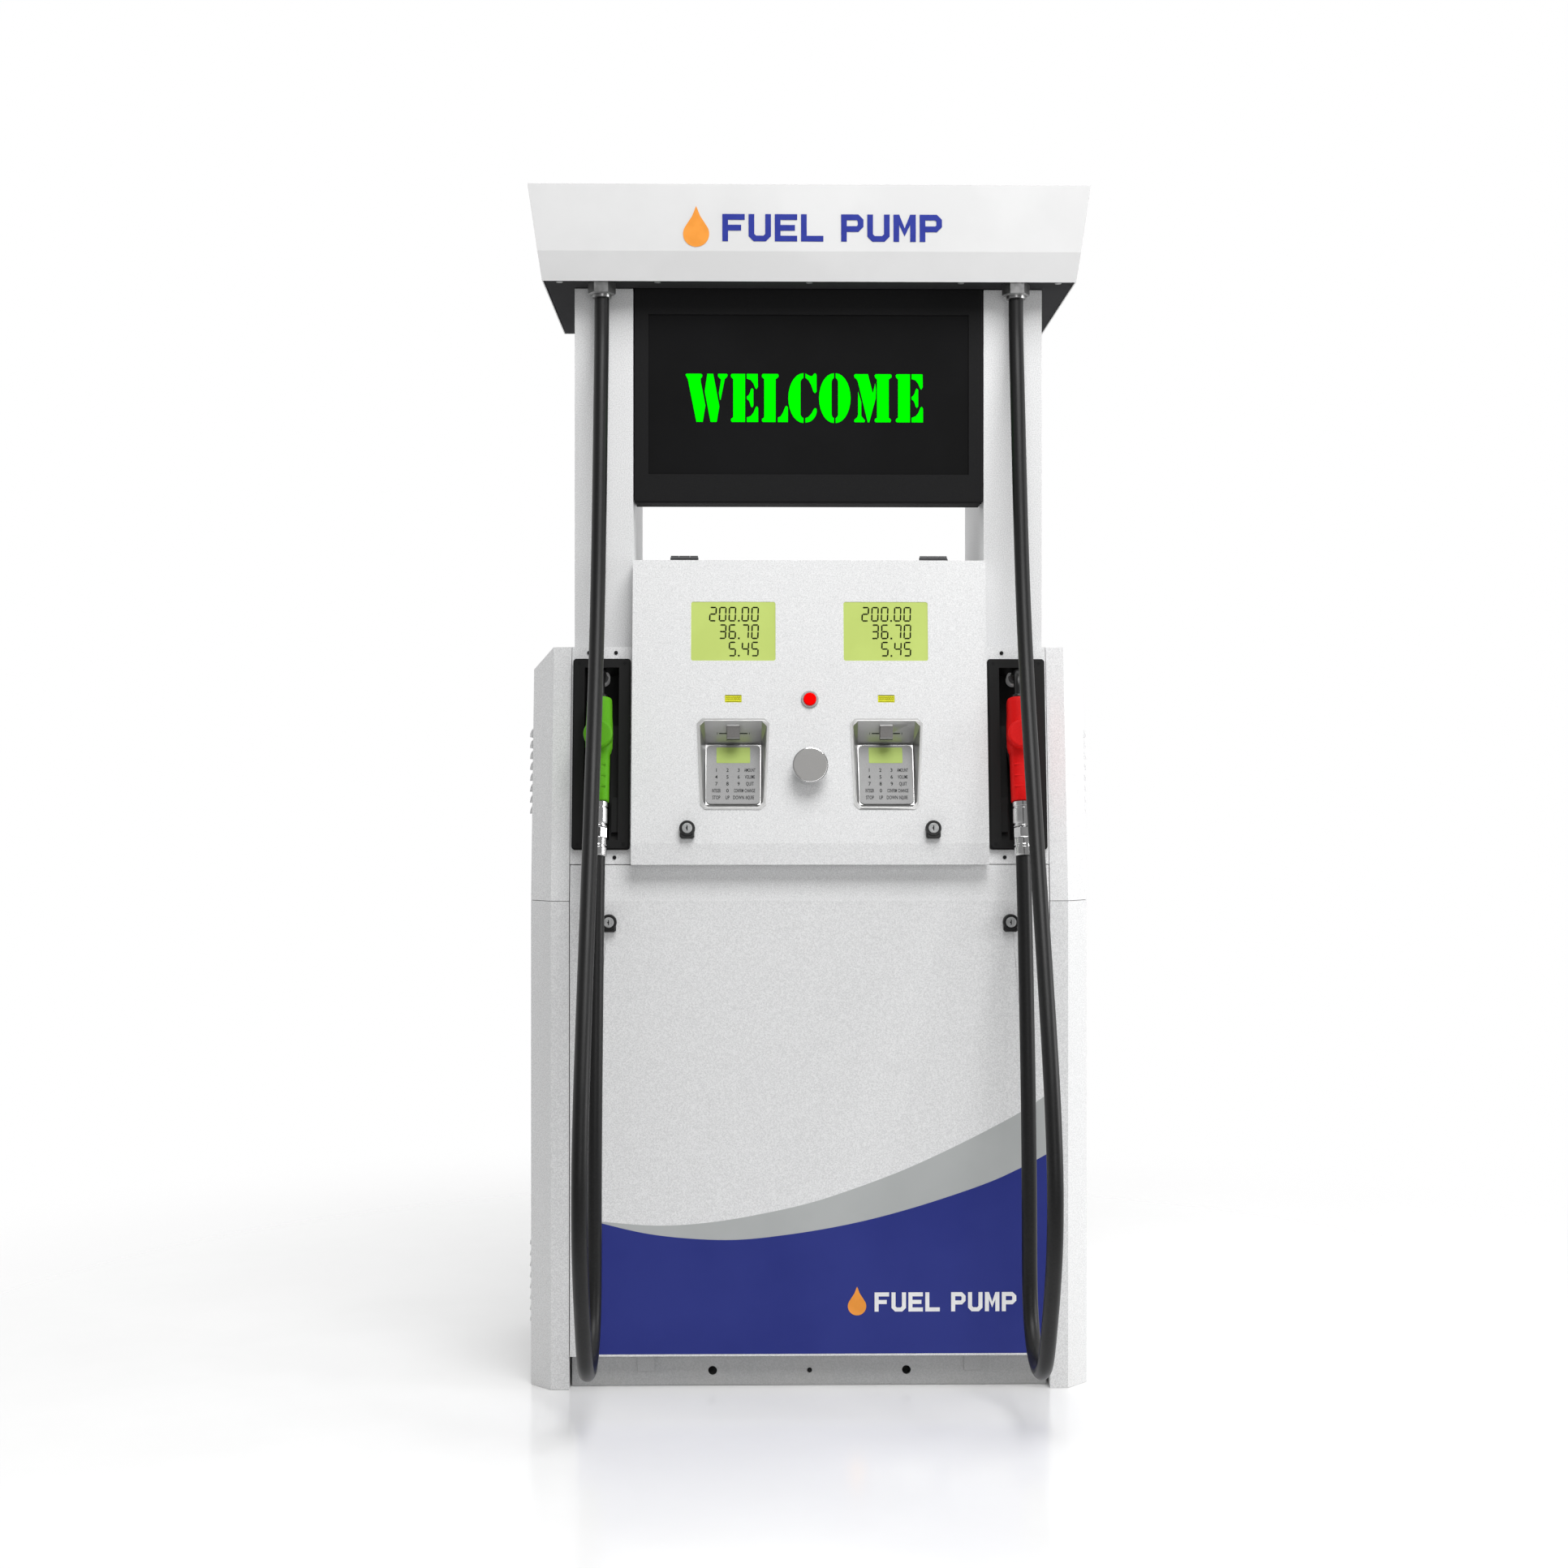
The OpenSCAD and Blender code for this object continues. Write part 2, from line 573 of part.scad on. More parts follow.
module front_panel() color("#e4e5e6") difference() {
    hung_pan();
    for (s = [-1, 1]) translate([s * panel_lock_x, -half_d, panel_lock_z]) out(lock_r + 0.3, -10, 10);
}
module rear_panel() color("#e4e5e6") mirror([0, 1, 0]) difference() {
    hung_pan();
    translate([0, -half_d, panel_lock_z]) out(lock_r + 0.3, -10, 10);
}
module rear_upper_panel() color("#e4e5e6") mirror([0, 1, 0]) {
    on_front(0, boot_mid) difference() {
        box([-panel_w / 2, 0, -202], [panel_w / 2, skin, 200]);
        for (x = [-1, 1], z = [-185, 185]) translate([x * 420, 0, z]) out(3, -10, 10);
    }
}

// ---------- boots, flaps ----------

tub_w = 66;
tub_in = 63;
tub_h = 324;
tub_d = 72;
spout_up = 150;       // height of the spout's seat above the boot's middle
spout_r = 9;
boot_mid = 1158;
flap_y = 58;
flap_z = 20;
slot_w = 29;          // slot between the liners, for the nozzle's guard and the flap

module boot(s) on_front(s * boot_x, boot_mid) {
    difference() {
        union() {
            // Raised rim with a bevelled edge, then the tub behind it
            plate(106, 354, 6, 0.2, 9);
            plate(101, 349, 6, 9, 12);
            box([-tub_w / 2, 0, -tub_h / 2], [tub_w / 2, tub_d, tub_h / 2]);
        }
        box([-tub_in / 2, -20, -tub_h / 2 + 2], [tub_in / 2, tub_d - 3, tub_h / 2 - 2]);
        translate([2 * s, 0, spout_up]) out(12.5, -tub_d - 1, -tub_d + 10);
        for (x = [-1, 1], z = [-1, 1]) translate([x * 42, 0, z * 168]) out(2.5, -1, 20);
    }
    for (x = [-1, 1]) {
        // Liners beside the guard's slot, sloping inwards towards the top
        translate([x * (slot_w + tub_in) / 4, 0, 0]) along_x((tub_in - slot_w) / 2)
            polygon([[0, -tub_h / 2 + 1], [tub_d - 2, -tub_h / 2 + 1], [tub_d - 2, 60], [44, 60]]);
        // Guide cheeks low in the tub
        translate([x > 0 ? 19 : -tub_in / 2, 0, -113]) box([0, -6, -32], [tub_in / 2 - 19, 50, 32]);
    }
    // Seat ring of the spout
    translate([2 * s, 0, spout_up]) difference() {
        out(12.5, -tub_d - 3, -tub_d + 7);
        out(spout_r + 0.6, -tub_d - 4, -tub_d + 8);
    }
    // Pin of the switch flap
    translate([-tub_in / 2, flap_y, flap_z]) rotate([0, 90, 0]) cylinder(r = 2.5, h = tub_in);
}
module boot_left() color("#1f1f1f") boot(-1);
module boot_right() color("#1f1f1f") boot(1);

// Switch flap behind the stored nozzle, hung from its pin
module boot_flap(s) on_front(s * boot_x, boot_mid) translate([0, flap_y, flap_z]) difference() {
    union() {
        rotate([0, 90, 0]) translate([0, 0, -14]) cylinder(r = 6, h = 28);
        rotate([-45, 0, 0]) box([-12, -1.5, -58], [12, 1.5, 0]);
    }
    rotate([0, 90, 0]) translate([0, 0, -20]) cylinder(r = 2.5 + run, h = 40);
}
module boot_flap_left() color("#2a2a2a") boot_flap(-1);
module boot_flap_right() color("#2a2a2a") boot_flap(1);

// ---------- nozzles ----------

body_top = 74;
grip_end = -126;
tail_end = -227;
lever_y = 30;
lever_z = -6;

module nozzle(s) on_nozzle(s) difference() {
    union() {
        // Valve body, round cap facing the operator, and the covered grip
        translate([0, 0, -22]) cylinder(r = 25, h = body_top + 22 - 8);
        translate([0, 0, body_top - 8]) cylinder(r1 = 25, r2 = 19, h = 8);
        out(26, 0, 38);
        translate([0, 0, grip_end]) cylinder(r1 = 20, r2 = 22, h = 110);
        // Lever bracket
        box([-9, 10, -20], [9, 36, 4]);
        // Hand guard
        box([-8, 10, grip_end], [8, 58, grip_end + 10]);
        box([-8, 48, grip_end], [8, 58, -30]);
        box([-8, 22, -30], [8, 58, -20]);
    }
    // Slot and pin bore of the lever, bores of spout and swivel
    box([-5.2, 22, -120], [5.2, 47, 10]);
    translate([-20, lever_y, lever_z]) rotate([0, 90, 0]) cylinder(r = 3 + run, h = 40);
    translate([0, 0, body_top - 20]) cylinder(r = spout_r, h = 30);
    translate([0, 0, grip_end - 1]) cylinder(r = 11 + run, h = 21);
}
module nozzle_left() color("#57ad27") nozzle(-1);
module nozzle_right() color("#e01b1b") nozzle(1);

module nozzle_lever(s) on_nozzle(s) {
    translate([-9, lever_y, lever_z]) rotate([0, 90, 0]) cylinder(r = 3, h = 18);
    translate([-5, lever_y, lever_z]) rotate([0, 90, 0]) cylinder(r = 6, h = 10);
    translate([0, lever_y, lever_z]) rotate([4, 0, 0]) {
        box([-4.5, -2, -70], [4.5, 3, 0]);
        translate([0, 0.5, -86]) box([-4.5, -2.5, -14], [4.5, 2.5, 16]);
    }
}
module nozzle_lever_left() color("#1c1c1c") nozzle_lever(-1);
module nozzle_lever_right() color("#1c1c1c") nozzle_lever(1);

// Spout: out of the body, one bend, then straight back into the boot's seat ring
bend_r = 30;
turn = nozzle_lean - lean;                   // angle between the nozzle's axis and the boot's face
spout_z = (nozzle_z - boot_mid) * cos(lean) + (nozzle_y - front_y(boot_mid)) * sin(lean);
spout_y = (nozzle_y - front_y(boot_mid)) * cos(lean) - (nozzle_z - boot_mid) * sin(lean);
spout_s = (spout_up - spout_z - bend_r * (1 - sin(turn))) / cos(turn);   // where the bend starts
spout_end_y = spout_y + spout_s * sin(turn) + bend_r * cos(turn);
bend_steps = 3;
spout_bend = [for (i = [0:bend_steps]) let (a = i / bend_steps * (90 - turn))
    [bend_r * (1 - cos(a)), spout_s + bend_r * sin(a)]];
spout_tip = spout_bend[bend_steps] + (tub_d + 25 - spout_end_y) * [cos(turn), sin(turn)];
spout_path = concat([[0, body_top - 20]], spout_bend, [spout_tip]);

// Round bar in the nozzle's Y-Z plane, from a to b, lengthened by more at its end
module bar(a, b, r, more = 0) {
    d = b - a;
    translate([0, a[0], a[1]]) rotate([-atan2(d[0], d[1]), 0, 0]) cylinder(r = r, h = norm(d) + more);
}
module nozzle_spout(s) on_nozzle(s) difference() {
    union() {
        for (i = [0:len(spout_path) - 2]) bar(spout_path[i], spout_path[i + 1], spout_r);
        for (p = spout_bend) translate([0, p[0], p[1]]) sphere(spout_r + 0.3);
    }
    bar(spout_tip - 30 * [cos(turn), sin(turn)], spout_tip, spout_r - 2, 1);
}
module nozzle_spout_left() color("#161616") nozzle_spout(-1);
module nozzle_spout_right() color("#161616") nozzle_spout(1);

module nozzle_swivel(s) on_nozzle(s) {
    translate([0, 0, grip_end - 0.3]) mirror([0, 0, 1]) {
        cylinder(r = 18.5, h = 42);
        translate([0, 0, 42]) cylinder(r = 15.5, h = 6);
        translate([0, 0, 48]) cylinder(r = 18, h = 20, $fn = 8);
        translate([0, 0, 68]) cylinder(r = 16.5, h = grip_end - tail_end - 68.4);
    }
    translate([0, 0, grip_end - 1]) cylinder(r = 11, h = 20);
}
module nozzle_swivel_left() color("#cfd1d3") nozzle_swivel(-1);
module nozzle_swivel_right() color("#cfd1d3") nozzle_swivel(1);

// ---------- hoses ----------

// Route of the hose in Y and Z, from the outlet to the nozzle's tail
tail_y = nozzle_y + tail_end * sin(nozzle_lean);
tail_z = nozzle_z + tail_end * cos(nozzle_lean);
route = [
    [-213, 2000], [-218, 1930], [-237, 1830], [-260, 1710], [-284, 1590], [-313, 1470], [-352, 1350],
    [-399, 1235], [-451, 1125], [-505, 1010], [-559, 900], [-614, 790], [-667, 680], [-712, 570],
    [-738, 460], [-733, 360], [-706, 280], [-674, 217], [-648, 172], [-617, 134], [-575, 112],
    [-527, 108], [-480, 122], [-443, 154], [-422, 198], [-414, 250], [-411, 340], [-405, 450],
    [-393, 570], [-376, 690], [-358, 800], [-340, 900], [tail_y, tail_z]
];
sides = 10;

// Catmull-Rom curve through the route, two steps from each point to the next
function knot(i) = route[max(0, min(len(route) - 1, i))];
function mid_point(i) = (9 * (knot(i) + knot(i + 1)) - knot(i - 1) - knot(i + 2)) / 16;
line = [for (i = [0:len(route) - 2]) each [knot(i), mid_point(i)], knot(len(route) - 1)];
function dir(i) = i == 0 ? [0, -1] : i == len(line) - 1 ? [sin(nozzle_lean), cos(nozzle_lean)] :
    (line[i + 1] - line[i - 1]) / norm(line[i + 1] - line[i - 1]);
// Rings square to the path: the tube lies in a plane of constant X
function ring(i) = [for (k = [0:sides - 1]) let (a = 360 * k / sides, r = hose_d / 2, d = dir(i))
    [r * cos(a), line[i][0] - r * sin(a) * d[1], line[i][1] + r * sin(a) * d[0]]];

module hose(s) translate([s * hose_x, 0, 0]) {
    n = len(line);
    polyhedron(
        points = [for (i = [0:n - 1]) each ring(i)],
        faces = concat(
            [[for (k = [0:sides - 1]) k]],
            [[for (k = [sides - 1:-1:0]) (n - 1) * sides + k]],
            [for (i = [0:n - 2], k = [0:sides - 1]) let (m = (k + 1) % sides)
                [i * sides + k, (i + 1) * sides + k, (i + 1) * sides + m, i * sides + m]]));
}
module hose_left() color("#191919") hose(-1);
module hose_right() color("#191919") hose(1);

// ---------- control door ----------

lcd_w = 155;
lcd_h = 110;
lcd_z = 1384;
total_z = 1259.5;
bowl_z0 = 1062;
bowl_z1 = 1218;
bowl_w0 = 109.7;
bowl_w1 = 122.6;
bowl_d = 45;

module control_door() color("#e6e7e8") difference() {
    along_x(door_w) polygon([[front_y(door_z1) - 0.4, door_z1], [front_y(door_z1) - door_t, door_z1],
                             [front_y(door_fold_z) - door_t, door_fold_z], [front_y(door_fold_z) - door_t, door_z0],
                             [front_y(door_z0) - 0.4, door_z0]]);
    along_x(door_w - 2 * skin) polygon([[0, door_z1 - skin], [front_y(door_z1 - skin) - door_t + skin, door_z1 - skin],
                                        [front_y(door_fold_z) - door_t + skin, door_fold_z],
                                        [front_y(door_fold_z) - door_t + skin, door_z0 + skin], [0, door_z0 + skin]]);
    for (s = [-1, 1]) {
        on_door(s * side_pitch / 2, lcd_z) plate(lcd_w, lcd_h, 4, -5, 5);
        on_door(s * side_pitch / 2, total_z) plate(31, 14, 1, -5, 5);
        bowl_cut(s, 2);
        on_door(s * lock_x, lock_z) out(lock_r + 0.3, -10, 10);
    }
    on_door(0, palm_z) out(22, -5, 5);
    on_door(0, red_z) out(13, -5, 5);
}

// Prism through the door skin with the outline of a keypad bowl, grown by g
module bowl_cut(s, g) {
    on_door(s * side_pitch / 2, 1140) rotate([90, 0, 0]) translate([0, 0, -6]) linear_extrude(12)
        bowl_outline(g);
}
module bowl_outline(g) {
    h = (bowl_z1 - bowl_z0) / cos(lean) / 2 + g;
    w0 = bowl_w0 / 2 + g;
    w1 = bowl_w1 / 2 + g;
    c = 9;
    polygon([[-w0 + c, -h], [w0 - c, -h], [w0, -h + c], [w1, h - c], [w1 - c, h],
             [-w1 + c, h], [-w1, h - c], [-w0, -h + c]]);
}

module door_hinge_leaves() color("#3a3b3d") for (s = [-1, 1]) translate([s * door_hinge_x, 0, 0]) difference() {
    union() {
        box([-25, front_y(door_z1) - door_t + 2, door_z1], [25, hinge_y - 5.5, door_z1 + 2.5]);
        for (x = [-25, 10.4]) translate([x, hinge_y, hinge_z]) rotate([0, 90, 0]) cylinder(r = 5.4, h = 14.6);
        for (x = [-25, 10.4]) box([x, hinge_y - 6, door_z1 + 0.1], [x + 14.6, hinge_y, door_z1 + 4]);
    }
    translate([-30, hinge_y, hinge_z]) rotate([0, 90, 0]) cylinder(r = 2.5, h = 60);
}
module hinge_brackets() color("#3a3b3d") for (s = [-1, 1]) translate([s * door_hinge_x, 0, 0]) {
    box([-9.8, hinge_y, door_z1 + 0.4], [9.8, -150, door_z1 + 2.5]);
    box([-25, front_y(door_z1) + 2, door_z1], [25, -150, door_z1 + 2.5]);
    translate([-9.8, hinge_y, hinge_z]) rotate([0, 90, 0]) cylinder(r = 5.4, h = 19.6);
    translate([-26, hinge_y, hinge_z]) rotate([0, 90, 0]) cylinder(r = 2.5 - run, h = 52);
    for (x = [-18, 18]) translate([x, -165, door_z1 + 2.5]) cylinder(r = 4, h = 2);
}

module lcd_windows() color("#c8dc82") for (s = [-1, 1]) on_door(s * side_pitch / 2, lcd_z) {
    plate(lcd_w + 10, lcd_h + 10, 4, -5, -skin);
    box([-70, 5, -48], [70, 16, 48]);
    box([-78, 16, -55], [78, 18, 55]);
}
module totalizers() color("#2f2f2f") for (s = [-1, 1]) on_door(s * side_pitch / 2, total_z) {
    box([-26, 2, -14], [26, 30, 14]);
}

// Keypad recess: the front opening hulled to the sloping keypad plane
module bowl_void(g) {
    hull() {
        rotate([90, 0, 0]) linear_extrude(0.1) bowl_outline(g);
        translate([0, bowl_d + g, 42]) box([-51 - g, -0.1, -0.1], [51 + g, 0, 0]);
        translate([0, bowl_d - 2 + g, 38]) box([-51 - g, -0.1, -0.1], [51 + g, 0, 0]);
        translate([0, 8 + g, -74]) box([-50 - g, -0.1, -0.1], [50 + g, 0, 0]);
    }
}
module keypad_bowls() color("#bfc2c4") for (s = [-1, 1]) on_door(s * side_pitch / 2, 1140) {
    difference() {
        union() {
            bowl_void(2);
            rotate([90, 0, 0]) linear_extrude(1.2) bowl_outline(5);
        }
        bowl_void(0);
        rotate([90, 0, 0]) translate([0, 0, -0.2]) linear_extrude(10) bowl_outline(0);
    }
    // Card guide that hangs from the ceiling of the recess
    intersection() {
        box([-11.5, 6, 48], [11.5, 22, 90]);
        bowl_void(1);
    }
}
pad_lean = atan((bowl_d - 10) / 112);
module keypads() color("#c4c7c9") for (s = [-1, 1]) on_door(s * side_pitch / 2, 1140) {
    translate([0, 8, -74]) rotate([-pad_lean, 0, 0]) box([-49, -2.6, 4], [49, -0.6, 118]);
}

collar_h = 10;
palm_stem = 14;
module button_collars() color("#c2c4c6") {
    on_door(0, palm_z) difference() {
        union() { out(26, 0, collar_h, 24); out(22, -skin - 8, 0); }
        out(palm_stem + run, -30, 30);
    }
    on_door(0, red_z) difference() {
        union() { out(16, 0, 3.5, 14.5); out(13, -skin - 14, 0); }
        out(11.5 + run, -30, 30);
    }
}
module palm_button() color("#a3a3a1") on_door(0, palm_z) {
    out(palm_stem, -16, 20);
    out(palm_d / 2 - 1.5, 20, 21.5, palm_d / 2);
    out(palm_d / 2, 21.5, 28);
    out(palm_d / 2, 28, 31, palm_d / 2 - 3);
}
module red_button() color("#e51616") on_door(0, red_z) {
    out(11.5, -12, 5.5);
    out(11.5, 5.5, 7, 10);
}

// ---------- locks ----------

lock_r = 8;
// D-shaped hood around a lock, and the turning plug with its cam
module lock_hood() difference() {
    union() {
        translate([0, 0, -5]) plate(28, 26, 8, 0, 12);
        translate([0, 0, 3]) out(14.5, 0, 14, 13.5);
    }
    out(lock_r + 2, -1, 20);
}
module lock_plug() {
    out(lock_r, -14, 8);
    out(lock_r + 1.5, 8, 16, lock_r + 1);
    // Cam behind the skin, with its nut
    translate([0, 12, 0]) box([-7, 0, -26], [7, 3, 8]);
    out(6, -18, -14, 6);
}
module lock_housings() color("#1d1d1d") {
    for (s = [-1, 1]) on_door(s * lock_x, lock_z) lock_hood();
}
module door_lock_left() color("#c9cbcd") on_door(-lock_x, lock_z) lock_plug();
module door_lock_right() color("#c9cbcd") on_door(lock_x, lock_z) lock_plug();
module panel_lock_left() color("#3a3b3d") translate([-panel_lock_x, -half_d, panel_lock_z]) lock_plug();
module panel_lock_right() color("#3a3b3d") translate([panel_lock_x, -half_d, panel_lock_z]) lock_plug();

// ---------- which node is drawn ----------

base_frame();
cross_plate();
cabinet_frame();
side_cover_left_lower();
side_cover_right_lower();
side_cover_left_upper();
side_cover_right_upper();
column_left();
column_right();
canopy_shell();
canopy_underside();
display_housing();
display_glass();
hose_outlets();
infill_panels();
electronics_box();
electronics();
junction_box();
motor();
motor_pulley();
pump_unit();
pump_pulley();
drive_belt();
flow_meters();
meter_rotor_left();
meter_rotor_right();
solenoid_valves();
pipework();
front_panel();
rear_panel();
rear_upper_panel();
boot_left();
boot_right();
boot_flap_left();
boot_flap_right();
nozzle_left();
nozzle_right();
nozzle_lever_left();
nozzle_lever_right();
nozzle_spout_left();
nozzle_spout_right();
nozzle_swivel_left();
nozzle_swivel_right();
hose_left();
hose_right();
control_door();
door_hinge_leaves();
hinge_brackets();
lcd_windows();
totalizers();
keypad_bowls();
keypads();
button_collars();
palm_button();
red_button();
lock_housings();
door_lock_left();
door_lock_right();
panel_lock_left();
panel_lock_right();
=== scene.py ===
"""Looks of a two-hose fuel dispenser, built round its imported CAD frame."""

import logging
import math
from dataclasses import dataclass, field
from enum import Enum
from typing import Iterable, Sequence

import bmesh
import bpy
from mathutils import Matrix, Vector
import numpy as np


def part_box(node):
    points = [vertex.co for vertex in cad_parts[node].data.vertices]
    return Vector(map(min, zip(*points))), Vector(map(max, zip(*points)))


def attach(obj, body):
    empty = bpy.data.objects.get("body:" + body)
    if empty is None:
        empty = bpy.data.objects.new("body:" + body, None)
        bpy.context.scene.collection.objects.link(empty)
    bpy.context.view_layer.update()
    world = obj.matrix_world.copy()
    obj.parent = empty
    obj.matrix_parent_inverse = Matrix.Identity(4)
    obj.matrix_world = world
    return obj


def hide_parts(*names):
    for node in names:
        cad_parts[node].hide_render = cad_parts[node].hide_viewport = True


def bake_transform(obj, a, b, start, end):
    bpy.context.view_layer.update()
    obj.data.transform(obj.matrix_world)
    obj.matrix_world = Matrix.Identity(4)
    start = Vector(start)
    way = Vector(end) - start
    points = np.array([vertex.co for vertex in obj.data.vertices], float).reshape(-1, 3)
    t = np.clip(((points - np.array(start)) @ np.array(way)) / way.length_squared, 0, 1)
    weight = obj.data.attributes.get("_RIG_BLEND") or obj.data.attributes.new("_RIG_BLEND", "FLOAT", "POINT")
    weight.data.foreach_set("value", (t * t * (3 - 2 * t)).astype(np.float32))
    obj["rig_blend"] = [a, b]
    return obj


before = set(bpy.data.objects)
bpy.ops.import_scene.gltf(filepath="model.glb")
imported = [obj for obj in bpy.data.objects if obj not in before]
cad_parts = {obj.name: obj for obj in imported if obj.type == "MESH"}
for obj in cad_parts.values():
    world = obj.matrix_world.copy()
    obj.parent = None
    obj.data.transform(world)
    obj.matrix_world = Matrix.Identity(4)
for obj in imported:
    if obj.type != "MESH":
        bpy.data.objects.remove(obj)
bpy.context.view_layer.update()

log = logging.getLogger("dispenser")
Point = tuple[float, float, float]
Flat = tuple[float, float]
MM = 0.001
SIDES: tuple[tuple[str, float], ...] = (("left", -1.0), ("right", 1.0))
BOOT_X = 382.0
BOOT_Z = 1158.0
BOOT_SEAT = 150.0
WINDOW_Z = 1384.0
COUNTER_Z = 1259.5
RECESS_Z = 1140.0
DOOR_LOCK: Flat = (223.0, 1022.0)
PANEL_LOCK: Flat = (366.0, 852.0)
PRINT_LIFT = 0.02
SCALE = Matrix.Diagonal((MM, MM, MM, 1.0))
OUTWARD = Matrix.Rotation(math.pi / 2, 4, "X")
SIDEWAYS = Matrix.Rotation(-math.pi / 2, 4, "Y")


# ---------------------------------------------------------------- node tools


def add_node(tree: bpy.types.NodeTree, kind: str, **settings: object) -> bpy.types.Node:
    """Add a node to a tree, set its own properties and return it."""
    node = tree.nodes.new(kind)
    for key, value in settings.items():
        setattr(node, key, value)
    return node


def wire(tree: bpy.types.NodeTree, *links: tuple[bpy.types.Node, str | int, bpy.types.Node, str | int]) -> None:
    """Link nodes, each link given as a node, its output, the next node and its input."""
    for source, output, sink, entry in links:
        tree.links.new(source.outputs[output], sink.inputs[entry])


def remap(tree: bpy.types.NodeTree, ends: Flat, to: Flat, smooth: bool = False) -> bpy.types.Node:
    """Add a node that maps one range to another.

    Args:
        tree: Node tree that gets the node.
        ends: Range of the value that comes in.
        to: Values given at the two ends.
        smooth: Whether the change eases in and out.

    Returns:
        The new node.
    """
    node = add_node(tree, "ShaderNodeMapRange", interpolation_type="SMOOTHSTEP" if smooth else "LINEAR")
    for key, value in zip(("From Min", "From Max", "To Min", "To Max"), (*ends, *to)):
        node.inputs[key].default_value = value
    return node


# ---------------------------------------------------------------- finishes


class Pattern(Enum):
    """How the tone of a finish varies over a surface."""

    SPECKLE = "speckle"
    BRUSHED = "brushed"
    CLOUDY = "cloudy"


@dataclass(frozen=True)
class Finish:
    """One surface finish: two tones, a pattern that mixes them, gloss and relief."""

    name: str
    tone: Point
    second: Point
    rough: float = 0.5
    rough_spread: float = 0.08
    metal: float = 0.0
    pattern: Pattern = Pattern.SPECKLE
    grain: float = 900.0
    contrast: tuple[float, float] = (0.4, 0.6)
    relief: float = 0.1
    relief_grain: float = 1200.0
    relief_depth: float = 0.0002
    coat: float = 0.0
    specular: float = 0.5
    glow: float = 0.0
    dust: float = 0.0

    def material(self) -> bpy.types.Material:
        """Return this finish's material, made on first use."""
        name = f"{self.name}_finish"
        found = bpy.data.materials.get(name)
        if found:
            return found
        mat = bpy.data.materials.new(name)
        mat.use_nodes = True
        mat.diffuse_color = (*self.tone, 1.0)
        self._wire(mat.node_tree)
        return mat

    def _noise(self, tree: bpy.types.NodeTree, scale: float, detail: float,
               stretch: Point = (1.0, 1.0, 1.0)) -> bpy.types.NodeSocket:
        """Add a noise read from Object coordinates.

        Args:
            tree: Node tree that gets the nodes.
            scale: Noise cells to the metre.
            detail: Octaves of the noise.
            stretch: Scale along each axis, for a grain with a direction.

        Returns:
            The noise's value socket.
        """
        coord, mapping, noise = (add_node(tree, kind) for kind in (
            "ShaderNodeTexCoord", "ShaderNodeMapping", "ShaderNodeTexNoise"))
        mapping.inputs["Scale"].default_value = stretch
        noise.inputs["Scale"].default_value = scale
        noise.inputs["Detail"].default_value = detail
        wire(tree, (coord, "Object", mapping, "Vector"), (mapping, "Vector", noise, "Vector"))
        return noise.outputs["Fac"]

    def _wire(self, tree: bpy.types.NodeTree) -> None:
        """Wire colour, gloss and relief of the finish into its shader."""
        shader = tree.nodes["Principled BSDF"]
        stretch = (1.0, 1.0, 40.0) if self.pattern is Pattern.BRUSHED else (1.0, 1.0, 1.0)
        octaves = 5.0 if self.pattern is Pattern.CLOUDY else 2.0
        ramp = tree.nodes.new("ShaderNodeValToRGB")
        ramp.color_ramp.elements[0].position, ramp.color_ramp.elements[1].position = self.contrast
        ramp.color_ramp.elements[0].color = (*self.tone, 1.0)
        ramp.color_ramp.elements[1].color = (*self.second, 1.0)
        tree.links.new(self._noise(tree, self.grain, octaves, stretch), ramp.inputs["Fac"])
        colour = ramp.outputs["Color"]
        if self.dust:
            colour = self._dusted(tree, colour)
        tree.links.new(colour, shader.inputs["Base Color"])
        spread = remap(tree, (0.0, 1.0), (max(0.02, self.rough - self.rough_spread),
                                          min(1.0, self.rough + self.rough_spread)))
        tree.links.new(self._noise(tree, 9.0, 4.0), spread.inputs["Value"])
        bump = add_node(tree, "ShaderNodeBump")
        bump.inputs["Strength"].default_value = self.relief
        bump.inputs["Distance"].default_value = self.relief_depth
        tree.links.new(self._noise(tree, self.relief_grain, 2.0, stretch), bump.inputs["Height"])
        wire(tree, (spread, "Result", shader, "Roughness"), (bump, "Normal", shader, "Normal"))
        for key, value in (("Metallic", self.metal), ("Coat Weight", self.coat), ("Coat Roughness", 0.06),
                           ("Specular IOR Level", self.specular)):
            shader.inputs[key].default_value = value
        if self.glow:
            tree.links.new(colour, shader.inputs["Emission Color"])
            shader.inputs["Emission Strength"].default_value = self.glow

    def _dusted(self, tree: bpy.types.NodeTree, colour: bpy.types.NodeSocket) -> bpy.types.NodeSocket:
        """Mix forecourt dust into a colour, thickest near the floor.

        Args:
            tree: Node tree that gets the nodes.
            colour: Clean colour.

        Returns:
            The dusted colour's socket.
        """
        factor, clean, dirty, result = 0, 6, 7, 2
        coord = add_node(tree, "ShaderNodeTexCoord")
        split = add_node(tree, "ShaderNodeSeparateXYZ")
        height = remap(tree, (0.0, 0.3), (self.dust, 0.0))
        streak = add_node(tree, "ShaderNodeMath", operation="MULTIPLY")
        mix = add_node(tree, "ShaderNodeMix", data_type="RGBA")
        mix.inputs[dirty].default_value = (0.42, 0.40, 0.37, 1.0)
        wire(tree, (coord, "Object", split, "Vector"), (split, "Z", height, "Value"), (height, "Result", streak, 0),
             (streak, "Value", mix, factor))
        tree.links.new(self._noise(tree, 14.0, 5.0), streak.inputs[1])
        tree.links.new(colour, mix.inputs[clean])
        return mix.outputs[result]


